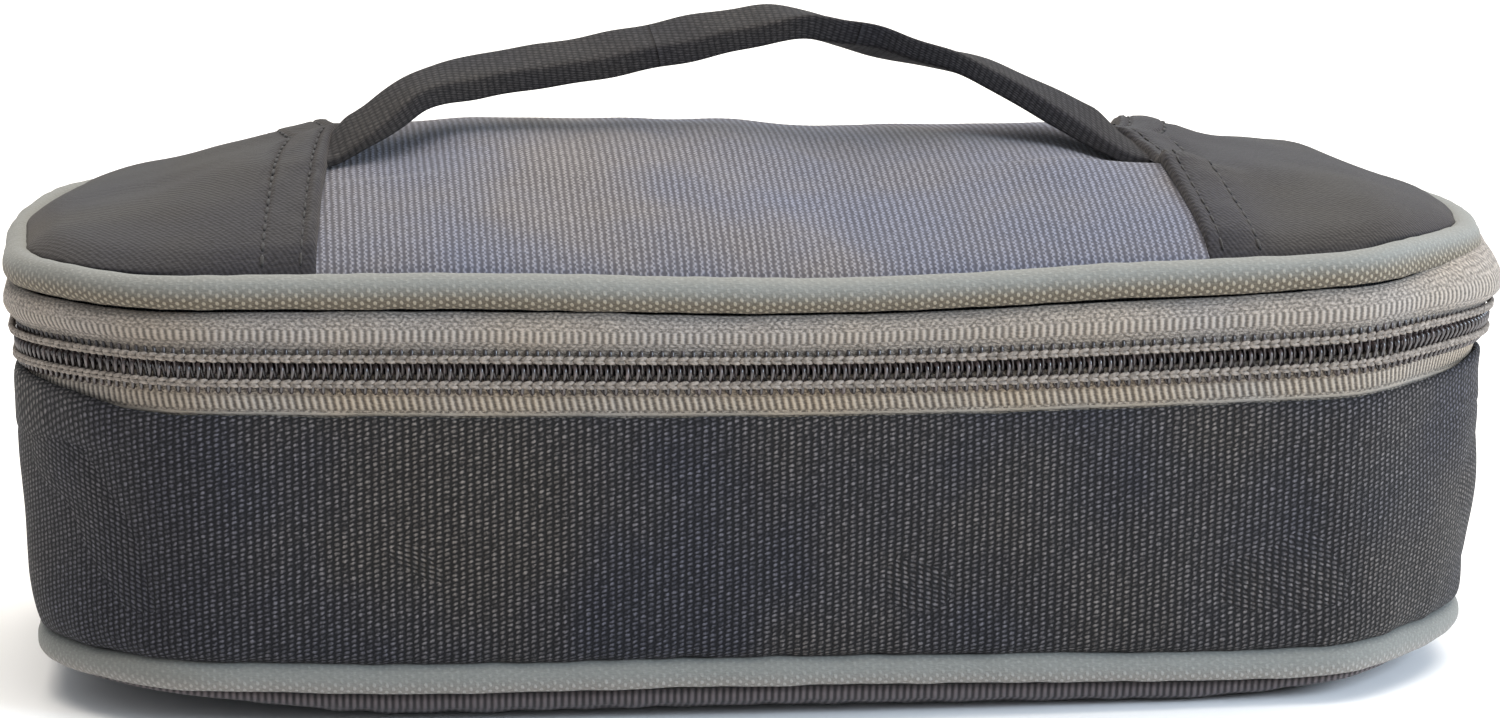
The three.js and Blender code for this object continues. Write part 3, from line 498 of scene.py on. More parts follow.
class Surface:
    """A new material's node tree, with the cloth's coordinates in millimetres."""

    def __init__(self, name):
        self.material = bpy.data.materials.new(name)
        self.material.use_nodes = True
        self.tree = self.material.node_tree
        self.shader = self.tree.nodes["Principled BSDF"]
        self.place = self.tree.nodes.new("ShaderNodeTexCoord").outputs["Object"]
        uv = self.tree.nodes.new("ShaderNodeUVMap")
        uv.uv_map = "cloth"
        self.uv = uv.outputs["UV"]
        apart = self.tree.nodes.new("ShaderNodeSeparateXYZ")
        self.tree.links.new(self.uv, apart.inputs[0])
        self.u = Field(self.tree, apart.outputs[0])
        self.v = Field(self.tree, apart.outputs[1])

    def noise(self, vector, scale, detail=2.0, stretch=(1, 1, 1)):
        mapping = self.tree.nodes.new("ShaderNodeMapping")
        mapping.inputs["Scale"].default_value = stretch
        self.tree.links.new(vector, mapping.inputs["Vector"])
        node = self.tree.nodes.new("ShaderNodeTexNoise")
        node.inputs["Scale"].default_value = scale
        node.inputs["Detail"].default_value = detail
        self.tree.links.new(mapping.outputs[0], node.inputs["Vector"])
        return Field(self.tree, node.outputs["Fac"])

    def patches(self, size_mm):
        """Slow changes over the whole piece, in its own space."""
        return self.noise(self.place, 1 / (size_mm * MM), 3.0)

    def threads(self, length_mm, width_mm, is_upright=False):
        """Streaks along the cloth's threads."""
        stretch = (1 / length_mm, 1 / width_mm, 1)
        if is_upright:
            stretch = (1 / width_mm, 1 / length_mm, 1)
        return self.noise(self.uv, 1.0, 2.0, stretch)

    def mixed(self, share, low, high):
        """A colour between two others, either of which may be a socket."""
        node = self.tree.nodes.new("ShaderNodeMix")
        node.data_type = "RGBA"
        sockets = [s for s in node.inputs if s.type == "RGBA"]
        for slot, value in zip(sockets, (low, high)):
            if isinstance(value, tuple):
                slot.default_value = (*value, 1)
            else:
                self.tree.links.new(value, slot)
        factor = [s for s in node.inputs if s.type == "VALUE"][0]
        self.tree.links.new(share.socket, factor)
        return [s for s in node.outputs if s.type == "RGBA"][0]

    def toned(self, share, patch, tones):
        """A colour that goes from dark to light with share. tones are the display colours of two
        dark tones and two light ones, and patch goes from the first of each pair to the second."""
        deep = self.mixed(patch, linear(*tones[0]), linear(*tones[1]))
        light = self.mixed(patch, linear(*tones[2]), linear(*tones[3]))
        return self.mixed(share, deep, light)

    def finish(
        self, colour, roughness, height=None, depth_mm=0.1,
        sheen=0.0, metallic=0.0, specular=0.5, tint=(1, 1, 1),
    ):
        shader = self.shader
        self.tree.links.new(colour, shader.inputs["Base Color"])
        if isinstance(roughness, Field):
            self.tree.links.new(roughness.socket, shader.inputs["Roughness"])
        else:
            shader.inputs["Roughness"].default_value = roughness
        shader.inputs["Metallic"].default_value = metallic
        shader.inputs["Sheen Weight"].default_value = sheen
        shader.inputs["Sheen Roughness"].default_value = 0.5
        shader.inputs["Sheen Tint"].default_value = (*tint, 1)
        shader.inputs["Specular IOR Level"].default_value = specular
        if height is not None:
            bump = self.tree.nodes.new("ShaderNodeBump")
            bump.inputs["Strength"].default_value = 1.0
            bump.inputs["Distance"].default_value = depth_mm * MM
            self.tree.links.new(height.socket, bump.inputs["Height"])
            self.tree.links.new(bump.outputs[0], shader.inputs["Normal"])
        return self.material


def linear(red, green, blue):
    """A colour from its 0 to 255 display values."""
    share = [c / 255 for c in (red, green, blue)]
    return tuple(c / 12.92 if c <= 0.04045 else ((c + 0.055) / 1.055) ** 2.4 for c in share)


def dots(s, width, height, slant=0.0, wobble=0.0):
    """Raised thread ends in upright columns, each shifted by half against the next: 0 to 1."""
    drift = s.noise(s.uv, 0.8, 2.0) * wobble
    place = s.u / width + drift
    column = place.floor()
    across = place.fraction() - 0.5
    along = (s.v / height + column * 0.5 + across * slant + drift).fraction() - 0.5
    return (across * across * 3.2 + along * along * 3.2) * -1 + 1


# Width and height of the thread ends that show on a cloth, and the distances between its ribs
WALL_DOT = (1.21, 0.76)
PIPING_DOT = (1.0, 1.4)
WEBBING_DOT = (1.05, 1.3)
CENTRE_RIB = 1.08
RIB_RUNG = 0.86
TWILL = 0.8
BASE_RIB = 1.1
LINING_WEAVE = 1.4
BINDING_RIB = 0.7
# Display colours of the cloths: two dark tones and two light ones
WALL_TONES = ((17, 17, 22), (24, 22, 21), (88, 87, 96), (114, 107, 102))
RIBBED_TONES = ((60, 62, 74), (70, 66, 68), (116, 119, 135), (129, 125, 125))
PANEL_TONES = ((18, 18, 25), (23, 21, 22), (41, 41, 50), (50, 47, 46))
WEBBING_TONES = ((20, 19, 22), (24, 22, 22), (60, 58, 62), (74, 70, 68))
# The upper piping's second tones, darker and browner, are painted shade on its underside
UPPER_PIPING_TONES_PAINTED_SHADE_BELOW = ((104, 105, 101), (66, 57, 44), (143, 143, 138), (138, 129, 112))
# The lower piping's second tones, lighter, are painted light from the floor on its underside
LOWER_PIPING_TONES_PAINTED_LIGHT_BELOW = ((104, 105, 101), (124, 119, 113), (143, 143, 138), (160, 155, 150))
LOWER_TAPE_TONES = ((66, 60, 55), (72, 62, 51), (160, 151, 141), (166, 150, 130))
UPPER_TAPE_TONES = ((76, 71, 67), (82, 75, 67), (158, 150, 143), (162, 150, 137))
# The colour that fibres standing off a cloth catch along its edges of sight
WARM_SHEEN = (1.0, 0.91, 0.78)


def wall_cloth():
    s = Surface("wall_cloth")
    dot = dots(s, *WALL_DOT, 0.45, 0.5)
    grain = s.threads(1.4, 0.4, True)
    bright = s.noise(s.uv, 1.1, 2.0).ramp(0.3, 0.72)
    raised = (dot * 0.9 + grain * 0.6 - 0.15).ramp(0.35, 1.1)
    patch = s.patches(38).ramp(0.35, 0.7)
    colour = s.toned(raised.power(2.0) * (bright * 0.85 + 0.25), patch, WALL_TONES)
    return s.finish(colour, 0.8, raised, 0.2, sheen=0.06, specular=0.2)


def ribbed_cloth():
    s = Surface("ribbed_cloth")
    drift = s.noise(s.uv, 0.7, 2.0) * 0.5
    rib = (s.u / CENTRE_RIB + 0.25 + drift).wave()
    rung = (s.v / RIB_RUNG + (s.u / CENTRE_RIB).floor() * 0.5 + drift).wave()
    grain = s.threads(1.6, 0.5, True)
    beads = s.noise(s.uv, 1.4, 2.0).ramp(0.3, 0.7)
    raised = (rib * (rung * 0.8 + beads * 0.4) + grain * 0.55 - 0.15).ramp(0.0, 1.05)
    colour = s.toned(raised, s.patches(45).ramp(0.35, 0.68), RIBBED_TONES)
    return s.finish(colour, 0.85, raised, 0.12, sheen=0.12, specular=0.2, tint=WARM_SHEEN)


def panel_cloth():
    s = Surface("panel_cloth")
    twill = ((s.u + s.v * 0.6) / TWILL).wave()
    grain = s.threads(0.8, 0.5)
    raised = (twill * 0.22 + grain * 0.9).ramp(0.25, 0.9)
    colour = s.toned(raised, s.patches(50).ramp(0.35, 0.7), PANEL_TONES)
    return s.finish(colour, 0.8, raised, 0.08, sheen=0.13, specular=0.15, tint=WARM_SHEEN)


def base_cloth():
    s = Surface("base_cloth")
    rib = (s.u / BASE_RIB).wave()
    grain = s.threads(3.0, 0.6, True)
    raised = (rib * 0.8 + grain * 0.4).ramp(0.1, 1.1)
    colour = s.mixed(raised, linear(42, 37, 38), linear(104, 95, 96))
    return s.finish(colour, 0.9, raised, 0.12, sheen=0.1)


def piping_cloth(name, tones):
    """The second of each pair of tones is that of the side that faces down: painted shade under the
    upper piping and painted light under the lower one.
    """
    s = Surface(name)
    # down picks the underside, whose tones are painted shade or painted light, and where the thread ends
    # are drawn stronger
    down = s.v.ramp(5.5, 9.0)
    dot = dots(s, *PIPING_DOT, 0.2, 0.15).ramp(0.55, 1.0)
    grain = s.threads(0.7, 0.3)
    raised = (dot * (down * 0.7 + 0.15) + grain * 0.7 - 0.02).ramp(0.1, 1.1)
    return s.finish(s.toned(raised, down, tones), 0.8, raised, 0.14, sheen=0.08)


LOWER_SLANT = -0.22
TAPE_RIB = 1.17
KNIT = 0.7


def tape_cloth(name, low, high, slant, tones, selvedge=0.0):
    """A zip tape's knit, with a row of upright ribs between two distances from its edge and a
    light selvedge beside it."""
    s = Surface(name)
    wobble = s.noise(s.uv, 0.9, 2.0) * 1.2
    ribs = ((s.u + (s.v - low) * slant) / TAPE_RIB).wave() * -1 + 1
    row = s.v.ramp(low - 0.2, low + 0.2) * (s.v.ramp(high - 0.2, high + 0.2) * -1 + 1)
    across = s.v / KNIT + wobble
    stagger = across.floor() * 0.5
    slope = (across.fraction() - 0.5).absolute() * 0.7
    knit = (s.u / TAPE_RIB + stagger + slope + wobble).wave() * across.wave().power(0.5)
    grain = s.threads(0.7, 0.3)
    loops = s.noise(s.uv, 1.7, 2.0).ramp(0.3, 0.7)
    pattern = ribs * row + (knit * 0.55 + loops * 0.5) * (row * -1 + 1)
    edge = s.v.ramp(low - 1.0, low - 0.8) * (s.v.ramp(low - 0.5, low - 0.3) * -1 + 1) * selvedge
    raised = (pattern.larger(edge) * 0.65 + grain * 0.8 - 0.1).ramp(0.15, 1.05)
    colour = s.toned(raised, s.patches(30).ramp(0.3, 0.7), tones)
    return s.finish(colour, 0.85, raised, 0.14, sheen=0.1)


def thread(name, dark, light, roughness, sheen):
    s = Surface(name)
    grain = s.noise(s.place, 1500.0)
    colour = s.mixed(grain.ramp(0.3, 0.7), linear(*dark), linear(*light))
    return s.finish(colour, roughness, grain, 0.05, sheen)


def coil_nylon():
    s = Surface("coil_nylon")
    wear = s.noise(s.place, 700.0, 3.0).ramp(0.45, 0.75)
    colour = s.mixed(wear, linear(38, 29, 29), linear(86, 73, 71))
    return s.finish(colour, wear * 0.15 + 0.28, wear, 0.02, specular=1.0)


def webbing():
    s = Surface("webbing")
    dot = dots(s, *WEBBING_DOT, 0.3, 0.3)
    grain = s.threads(1.0, 0.4)
    bright = s.noise(s.uv, 0.9, 2.0).ramp(0.35, 0.7)
    raised = (dot * 0.5 + grain * 0.6).ramp(0.2, 1.1)
    patch = s.patches(30).ramp(0.35, 0.7)
    colour = s.toned(raised * (bright * 0.7 + 0.3), patch, WEBBING_TONES)
    return s.finish(colour, 0.85, raised, 0.1, sheen=0.04, specular=0.15)


def foam():
    s = Surface("foam")
    cells = s.noise(s.place, 1400.0, 4.0)
    colour = s.mixed(s.patches(25), linear(214, 212, 200), linear(236, 235, 228))
    return s.finish(colour, 0.95, cells, 0.2)


def lining():
    s = Surface("lining")
    crinkle = s.noise(s.place, 300.0, 6.0)
    fine = s.noise(s.place, 900.0, 3.0)
    weave = ((s.u / LINING_WEAVE).wave() + (s.v / LINING_WEAVE).wave()) * 0.12
    colour = s.mixed(crinkle.ramp(0.3, 0.7), linear(150, 152, 156), linear(172, 174, 177))
    height = crinkle + fine * 0.15 + weave
    return s.finish(colour, crinkle * 0.25 + 0.25, height, 0.5, metallic=0.55)


def binding():
    s = Surface("binding")
    rib = (s.u / BINDING_RIB).wave()
    grain = s.threads(1.0, 0.4)
    raised = (rib * 0.7 + grain * 0.4).ramp(0.1, 1.0)
    colour = s.mixed(raised, linear(26, 26, 28), linear(58, 58, 60))
    return s.finish(colour, 0.9, raised, 0.08, sheen=0.2)


def slider_metal():
    s = Surface("slider_metal")
    scuffs = s.noise(s.place, 900.0, 5.0, (1, 3, 1)).ramp(0.58, 0.8)
    geometry = s.tree.nodes.new("ShaderNodeNewGeometry")
    edge = Field(s.tree, geometry.outputs["Pointiness"]).ramp(0.52, 0.6)
    worn = scuffs.larger(edge)
    colour = s.mixed(worn, linear(26, 26, 28), linear(66, 65, 64))
    return s.finish(colour, worn * 0.2 + 0.28, scuffs, 0.03, metallic=0.85)


def dressed(piece, material):
    """Gives a piece its finish as its only material."""
    piece.data.materials.clear()
    piece.data.materials.append(material)
    return piece


MATERIALS = {
    "wall_cloth": wall_cloth(),
    "ribbed_cloth": ribbed_cloth(),
    "panel_cloth": panel_cloth(),
    "base_cloth": base_cloth(),
    "upper_piping_cloth_painted_shade": piping_cloth("upper_piping_cloth_painted_shade", UPPER_PIPING_TONES_PAINTED_SHADE_BELOW),
    "lower_piping_cloth_painted_light": piping_cloth("lower_piping_cloth_painted_light", LOWER_PIPING_TONES_PAINTED_LIGHT_BELOW),
    "lower_tape_cloth": tape_cloth("lower_tape_cloth", 6.6, 8.8, LOWER_SLANT, LOWER_TAPE_TONES, 0.9),
    "upper_tape_cloth": tape_cloth("upper_tape_cloth", 3.9, 5.9, 0.0, UPPER_TAPE_TONES),
    "thread_light": thread("thread_light", (92, 84, 77), (142, 132, 123), 0.7, 0.05),
    "thread_dark": thread("thread_dark", (14, 13, 15), (32, 30, 30), 0.8, 0.1),
    "coil": coil_nylon(),
    "webbing": webbing(),
    "foam": foam(),
    "lining": lining(),
    "binding": binding(),
    "slider_metal": slider_metal(),
}


def placed(piece, body, material, nodes=()):
    """Gives a piece its finish, its body and the nodes it stands for."""
    dressed(piece, MATERIALS[material])
    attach(piece, body)
    if nodes:
        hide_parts(*nodes)
    return piece


# Tub

# Cross-sections of the wall's layers: inset from the bag's outline, and height
WALL_LINE = (
    (5.6, 10.7), (4.4, 11.0), (3.2, 12.2), (2.75, 15.0), (2.7, 19.0), (1.9, 28.0), (1.2, 36.0),
    (0.95, 42.0), (0.55, 43.6), (0.3, 46.5), (0.1, 48.6), (0.35, 49.7), (1.0, 50.0), (1.65, 49.5),
    (1.8, 48.4), (1.8, 44.3), (1.9, 42.6), (2.2, 34.0), (3.6, 17.0), (4.2, 13.0), (5.9, 11.4),
)
FOAM_LINE = ((6.3, 11.2), (9.3, 11.2), (7.0, 17.0), (6.0, 49.4), (3.1, 49.4), (4.1, 17.0))
LINING_LINE = (
    (9.6, 11.2), (10.1, 11.2), (7.9, 17.0), (7.0, 50.3),
    (3.1, 50.4), (3.1, 49.9), (6.3, 49.8), (7.4, 17.0),
)
# The sunken seam under the wall's hem: height, depth and half-width
HEM_SEAM = (43.0, 0.22, 0.5)
# Between which walked places the wall's hem climbs and comes down again at an end, and how far
HEM_CLIMBS = (((425, 465), (500, 540), 3.3), ((140, 165), (190, 225), 2.0))
HEM_HEIGHTS = (43.5, 49)


def hem_climb(u, inset, height):
    """The wall's hem stands higher over the zip's lower tape at the bag's ends."""
    rise = sum(most * hump(u, up, down) for up, down, most in HEM_CLIMBS)
    return inset, height + rise * smooth(height, *HEM_HEIGHTS)


def wall_relief(u, v, inset, height):
    """Slow waves between the seams, puckers at the hem, tucks at the foot and the hem's seam."""
    slow = 0.55 * ripple(u, height, 70, 3) + 0.22 * ripple(u, height, 24, 5)
    puckers = 0.10 * ripple(u, 0.15 * height, 7, 9) * smooth(height, 40, 49)
    tucks = 0.16 * ripple(u, 0.2 * height, 11, 12) * (1 - smooth(height, 12, 22))
    middle, depth, half = HEM_SEAM
    seam = depth * np.exp(-(((height - middle) / half) ** 2))
    return hump(height, (12, 20), (38, 49)) * slow + puckers + tucks - seam


def lining_relief(u, v, inset, height):
    return 0.35 * ripple(u, height, 16, 21) * hump(height, (12, 18), (44, 49))


def wall():
    made = swept("wall_cloth_band", WALL_LINE, whole_round(0.8), wall_relief, 0.75, 2, hem_climb)
    placed(made, "tub", "wall_cloth", ["wall_panel"])
    padding = swept("wall_padding", FOAM_LINE, whole_round(2.0), None, 1.2, 1)
    placed(padding, "tub", "foam", ["wall_foam"])
    lining_sheet = swept("wall_lining_sheet", LINING_LINE, whole_round(1.2), lining_relief, 0.9, 1)
    placed(lining_sheet, "tub", "lining", ["wall_lining"])


def dish(name, rings, material, nodes, step):
    """A panel over the whole outline: rings of inset and height from its middle out and back,
    above the underside of the bag."""
    walked = whole_round(step)[:-1]
    line, _ = evenly(rings, 1.5, False)
    points = band(walked, line[None, :, 0], line[None, :, 1])
    points[..., 2] += base_rise(points[..., 0], points[..., 1], line[None, :, 0])
    n, m = points.shape[:2]
    i, j = np.meshgrid(np.arange(n), np.arange(m - 1), indexing="ij")
    here, ahead = i * m + j, (i + 1) % n * m + j
    faces = np.stack([here, ahead, ahead + 1, here + 1], -1).reshape(-1, 4).tolist()
    faces += rungs_across(n, m, 0) + rungs_across(n, m, m - 1)
    plan = points.reshape(-1, 3)[:, :2]
    uvs = np.vstack([plan[face] for face in faces])
    made = mesh_object(name, slumped(points).reshape(-1, 3), faces, uvs)
    outwards(made)
    return placed(made, "tub", material, nodes)


def rungs_across(n, m, column):
    """Faces across a ring of points that starts at the middle of the back, joining left to right."""
    found = []
    for k in range(n // 2):
        corners = (k, k + 1, (n - k - 1) % n, (n - k) % n)
        face = [corner * m + column for corner in dict.fromkeys(corners)]
        if len(face) > 2:
            found.append(face)
    return found


# The underside's height at insets from the edge, in the middle of the bag and towards its ends
BASE_INSETS = (5.8, 6.6, 9.0, 11.0, 14.0, 17.0, 22.0, 30.0, 38.0, 46.0)
BASE_MIDDLE = (5.4, 3.7, 2.4, 1.5, 0.65, 0.1, 0.0, 0.0, 0.0, 0.0)
BASE_ENDS = (5.6, 5.3, 5.0, 4.6, 4.0, 3.5, 2.7, 1.5, 0.5, 0.0)
BASE_CLOTH = 0.8
# Rings of the padding and of the lining's lower face: inset, and height above the underside
BASE_FOAM_RINGS = (
    (44, 1.1), (30, 1.1), (18, 1.1), (9.6, 1.1), (9.0, 2.0),
    (10.0, 3.2), (18, 3.3), (30, 3.3), (44, 3.3),
)
BASE_LINING_RINGS = ((44, 3.9), (30, 3.9), (18, 3.9), (14.0, 3.9), (11.5, 4.3), (10.1, 5.6))


def base_rise(x, y, inset):
    """The underside rests on its middle and curves up to the piping, further in at the ends."""
    share = smooth(np.abs(x), 60, 108)
    middle, ends = (through(inset + 0 * x, BASE_INSETS, row) for row in (BASE_MIDDLE, BASE_ENDS))
    puckers = 0.15 * ripple(x, y, 9, 32) * hump(inset, (6, 9), (12, 22))
    return middle + (ends - middle) * share + puckers


def base():
    insets = [*spaced(46, 22, -4.0), *spaced(20, 5.8, -1.1)]
    under = [(inset, 0.0) for inset in insets]
    over = [(inset, BASE_CLOTH) for inset in insets[::-1]]
    dish("base_cloth_panel", under + over, "base_cloth", ["base_panel"], 1.5)
    padding = dish("base_padding", BASE_FOAM_RINGS, "foam", ["base_foam"], 3)
    over = [(inset + 0.4, height + 0.35) for inset, height in BASE_LINING_RINGS[::-1]]
    dish("base_lining_sheet", [*BASE_LINING_RINGS, *over], "lining", ["base_lining"], 2)


# The piping's cloth, how far its mouth opens to each side in radians, and its cord's distance in
PIPING_CLOTH = 0.5
PIPING_MOUTH = 0.5
CORD_INSET = 0.85
CORD_TWISTS = 165


def piping(name, size, body, material, nodes, seed):
    centre, height, radius = size
    outer = [(radius, a) for a in np.linspace(PIPING_MOUTH, TURN - PIPING_MOUTH, 30)]
    inner = [(radius - PIPING_CLOTH, a) for a in np.linspace(TURN - PIPING_MOUTH, PIPING_MOUTH, 20)]
    profile = [(centre + r * math.cos(a), height + r * math.sin(a)) for r, a in outer + inner]

    def relief(u, v, inset, height):
        return 0.07 * ripple(u, v, 30, seed) + 0.05 * ripple(u, v, 9, seed + 1)

    made = swept(name, profile, whole_round(0.8), relief, 0.45, 0)
    return placed(made, body, material, nodes)


def piping_cord(name, size, body, nodes):
    centre, height, radius = size
    radius -= CORD_INSET
    angles = TURN * np.arange(24) / 24
    profile = [(centre + radius * math.cos(a), height + radius * math.sin(a)) for a in angles]

    def twist(u, v, inset, height):
        return 0.18 * np.cos(TURN * (u / (ROUND / CORD_TWISTS) + 3 * v / (TURN * radius))) - 0.18

    made = swept(name, profile, whole_round(1.0), twist, 0.5, 0)
    return placed(made, body, "foam", nodes)


def seam_binding(name, inset, low, high, body, nodes):
    profile = [
        (inset, low), (inset + 0.9, low), (inset + 1.4, low + 0.8),
        (inset + 1.4, high - 0.8), (inset + 0.9, high), (inset, high),
    ]

    def relief(u, v, i, height):
        return 0.08 * ripple(u, v, 10, 41)

    return placed(swept(name, profile, whole_round(1.2), relief, 0.6, 1), body, "binding", nodes)


TAPE_STEP = TAPE_RIB / 4
LOWER_ROW = (50.8, 53.0, LOWER_SLANT)
UPPER_ROW = (61.6, 63.5, 0.0)
LOWER_TAPE_LINE = [(2.1, 44.2), (2.1, 48.5), (2.0, 50.5), (1.8, 52.5), (1.8, 54.2), (2.0, 56.2)]
UPPER_TAPE_LINE = [(2.0, 57.9), (1.9, 59.6), (1.1, 61.4), (0.55, 63.4), (0.75, 65.4), (2.1, 66.3)]
FLAT_UPPER_LINE = [(2.1, 57.9), (2.0, 61.5), (1.9, 64.0), (2.1, 66.3)]
# Between which walked places the upper tape gets as flat as it is beside the hinge
FLATTENED = (MOUTH - 40, MOUTH - 8)


def tape_ribs(u, height, row):
    """The row of upright ribs knitted into a zip tape: 0 to 1."""
    low, high, slant = row
    across = 0.5 + 0.5 * np.cos(TURN * (u + (height - low) * slant) / TAPE_RIB)
    return across * hump(height, (low - 0.2, low + 0.3), (high - 0.3, high + 0.2))


def tape_profile(line, thickness=0.6):
    """A strip of cloth: its outer line, and the same line further in."""
    line = softened(line, 2, False)
    return [tuple(p) for p in line] + [(i + thickness, h) for i, h in line[::-1]]


def tape_places(start, end):
    first = math.floor(start / TAPE_STEP)
    last = math.floor(end / TAPE_STEP)
    return TAPE_STEP * np.arange(first, last + 1)


def lower_relief(u, v, inset, height):
    face = (v < 12.3) * 1.0
    selvedge = 0.22 * np.exp(-(((height - 50.1) / 0.22) ** 2))
    return face * (0.2 * tape_ribs(u, height, LOWER_ROW) + selvedge + 0.05 * ripple(u, height, 14, 51))


def upper_relief(u, v, inset, height):
    face = (v < 9.6) * 1.0
    free = smooth(height, 59.5, 62)
    waves = 0.22 * ripple(u, height, 55, 61) + 0.07 * ripple(u, height, 12, 62)
    return face * (0.12 * tape_ribs(u, height, UPPER_ROW) + waves * free * (1 - smooth(u, *FLATTENED)))


# Where the upper tape swells up outside the piping at the right end, and how far out and up
SWELL_STARTS = (118, 150)
SWELL_ENDS = (195, 236)
SWELL_OUT = 2.2
SWELL_UP = 2.6
# Between which heights it swells out, comes in again by a share of that, and is lifted
OUT_HEIGHTS = (58.2, 61.5)
IN_HEIGHTS = (62.0, 65.5)
IN_SHARE = 0.2
UP_HEIGHTS = (61.5, 66.0)


def tape_swell(u, inset, height):
    """The upper tape's bulge at the right end, and its flat stretch before the slider."""
    lines = (np.array(line).T for line in (UPPER_TAPE_LINE, FLAT_UPPER_LINE))
    profile, flat = (np.interp(height, heights, insets) for insets, heights in lines)
    inset = inset + (flat - profile) * smooth(u, *FLATTENED)
    share = hump(u, SWELL_STARTS, SWELL_ENDS)
    out = smooth(height, *OUT_HEIGHTS) - IN_SHARE * smooth(height, *IN_HEIGHTS)
    return inset - SWELL_OUT * share * out, height + SWELL_UP * share * smooth(height, *UP_HEIGHTS)


def tape(name, line, start, end, relief, swell=None):
    return swept(name, tape_profile(line), tape_places(start, end), relief, 0.32, 0, swell)


def zip_tapes():
    lower = tape("lower_zip_tape_cloth", LOWER_TAPE_LINE, ZIP_START, ZIP_END, lower_relief)
    placed(lower, "tub", "lower_tape_cloth", ["lower_zip_tape"])
    upper = tape("upper_zip_tape_cloth", UPPER_TAPE_LINE, ZIP_START, MOUTH - 6, upper_relief, tape_swell)
    placed(upper, "lid", "upper_tape_cloth", ["upper_zip_tape"])
    mouth = tape("upper_zip_tape_mouth", FLAT_UPPER_LINE, MOUTH - 6, ROUND - 80, upper_relief)
    dressed(mouth, MATERIALS["upper_tape_cloth"])
    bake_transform(mouth)
    loose = tape("upper_zip_tape_loose", FLAT_UPPER_LINE, ROUND - 80, ZIP_END, upper_relief)
    dressed(loose, MATERIALS["upper_tape_cloth"])
    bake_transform(loose)
    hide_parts("upper_zip_tape_end", "upper_zip_tape_edge")


COIL_SAMPLES = 16
COIL_WIRE = 0.28
COIL_DEPTH = 0.42
COIL_HEAD = 0.75
# The lower half lies further out: length, inset of the middle and bulge of the heads of each half
COIL_HALVES = {1: (4.3, 1.2, 0.5), -1: (4.1, 1.85, 0.0)}
HEAD_LEAN = 0.2
SPREAD = 1.8
SPREAD_RUN = 5.0


def spread_at(walked):
    """How far the chain's halves stand apart where the slider holds them open."""
    return SPREAD * np.clip((walked - MOUTH) / SPREAD_RUN, 0, 1)


def coil(name, start, end, pointing, body, nodes):
    """Half of the zip's coil: a flattened spring whose turns end in broad heads at the middle. Its
    front legs stand upright, and it moves on to the next turn along its back legs."""
    length, middle, bulge = COIL_HALVES[pointing]
    phase = 0.0 if pointing > 0 else 0.5
    first = math.ceil((start - ZIP_START) / ZIP_PITCH - phase)
    last = math.floor((end - ZIP_START) / ZIP_PITCH - phase)
    turn = np.linspace(first, last, (last - first) * COIL_SAMPLES + 1)
    within = turn - np.floor(turn)
    moved = np.floor(turn) + smooth(within, 0.45, 1.0)
    walked = ZIP_START + (moved + phase) * ZIP_PITCH
    cosine, sine = np.cos(TURN * turn), np.sin(TURN * turn)
    flat = np.sign(cosine) * np.abs(cosine) ** 0.7
    reach = COIL_HEAD - length * (1 - flat) / 2
    depth = np.sign(sine) * np.abs(sine) ** 0.8 * COIL_DEPTH
    head = np.clip(cosine, 0, 1) ** 3
    middle_share = np.exp(-((reach / 0.6) ** 2)) * (sine > 0)
    walked = walked - HEAD_LEAN * middle_share
    heights = ZIP_HEIGHT + pointing * (reach - spread_at(walked))
    insets = middle - depth - bulge * middle_share
    path = band(walked, insets[:, None], heights[:, None])[:, 0]
    radii = COIL_WIRE + 0.08 * head
    made = tube(name, path, radii, 8)
    return placed(made, body, "coil", nodes)


# One stitch of the chains that sew the coils down, which narrows to a point inside the next one:
# places along it, half as wide as it opens, its depth and the thread's radius
STITCH_ALONG = (0.0, 0.35, 0.9, 1.5, 2.0)
STITCH_OPEN = (0.30, 0.38, 0.30, 0.16, 0.03)
STITCH_INSET = (0.75, 0.30, 0.14, 0.12, 0.45)
STITCH_RADII = (0.14, 0.33, 0.37, 0.30, 0.14)
CHAIN_FROM_MIDDLE = 1.98


def chain_threads(name, start, end, pointing, body):
    """The sewing thread that holds a coil to its tape: a chain of looped stitches."""
    first = math.ceil((start - ZIP_START) / ZIP_PITCH)
    last = math.floor((end - ZIP_START) / ZIP_PITCH)
    begin = ZIP_START + ZIP_PITCH * np.arange(first, last)[:, None]
    walked = begin + np.array(STITCH_ALONG)
    insets = np.broadcast_to(np.array(STITCH_INSET), walked.shape)
    x, y, nx, ny = (row.reshape(walked.shape) for row in outline(walked.ravel()))
    paths = []
    for strand in (-1, 1):
        away = CHAIN_FROM_MIDDLE + strand * np.array(STITCH_OPEN) + spread_at(walked)
        heights = ZIP_HEIGHT - pointing * away
        paths.append(np.stack([x - nx * insets, y - ny * insets, heights], -1))
    made = strands(name, np.vstack(paths), STITCH_RADII)
    return placed(made, body, "thread_light")


def zip_chain():
    coil("lower_zip_coil_spring", ZIP_START, ZIP_END, 1, "tub", ["lower_zip_coil"])
    coil("upper_zip_coil_spring", ZIP_START, MOUTH - 0.3, -1, "lid", ["upper_zip_coil"])
    coil("upper_zip_coil_loose", MOUTH, ZIP_END, -1, "tub", ["upper_zip_coil_end"])
    chain_threads("lower_zip_stitches", ZIP_START, ZIP_END, 1, "tub")
    chain_threads("upper_zip_stitches", ZIP_START, MOUTH - 0.3, -1, "lid")
    chain_threads("upper_zip_stitches_loose", MOUTH, ZIP_END, -1, "tub")


HINGE_LINE = (
    (2.2, 44.2), (2.1, 50.0), (1.7, 55.0), (1.45, 57.0), (1.7, 59.0), (2.1, 64.0), (2.2, 66.3),
)


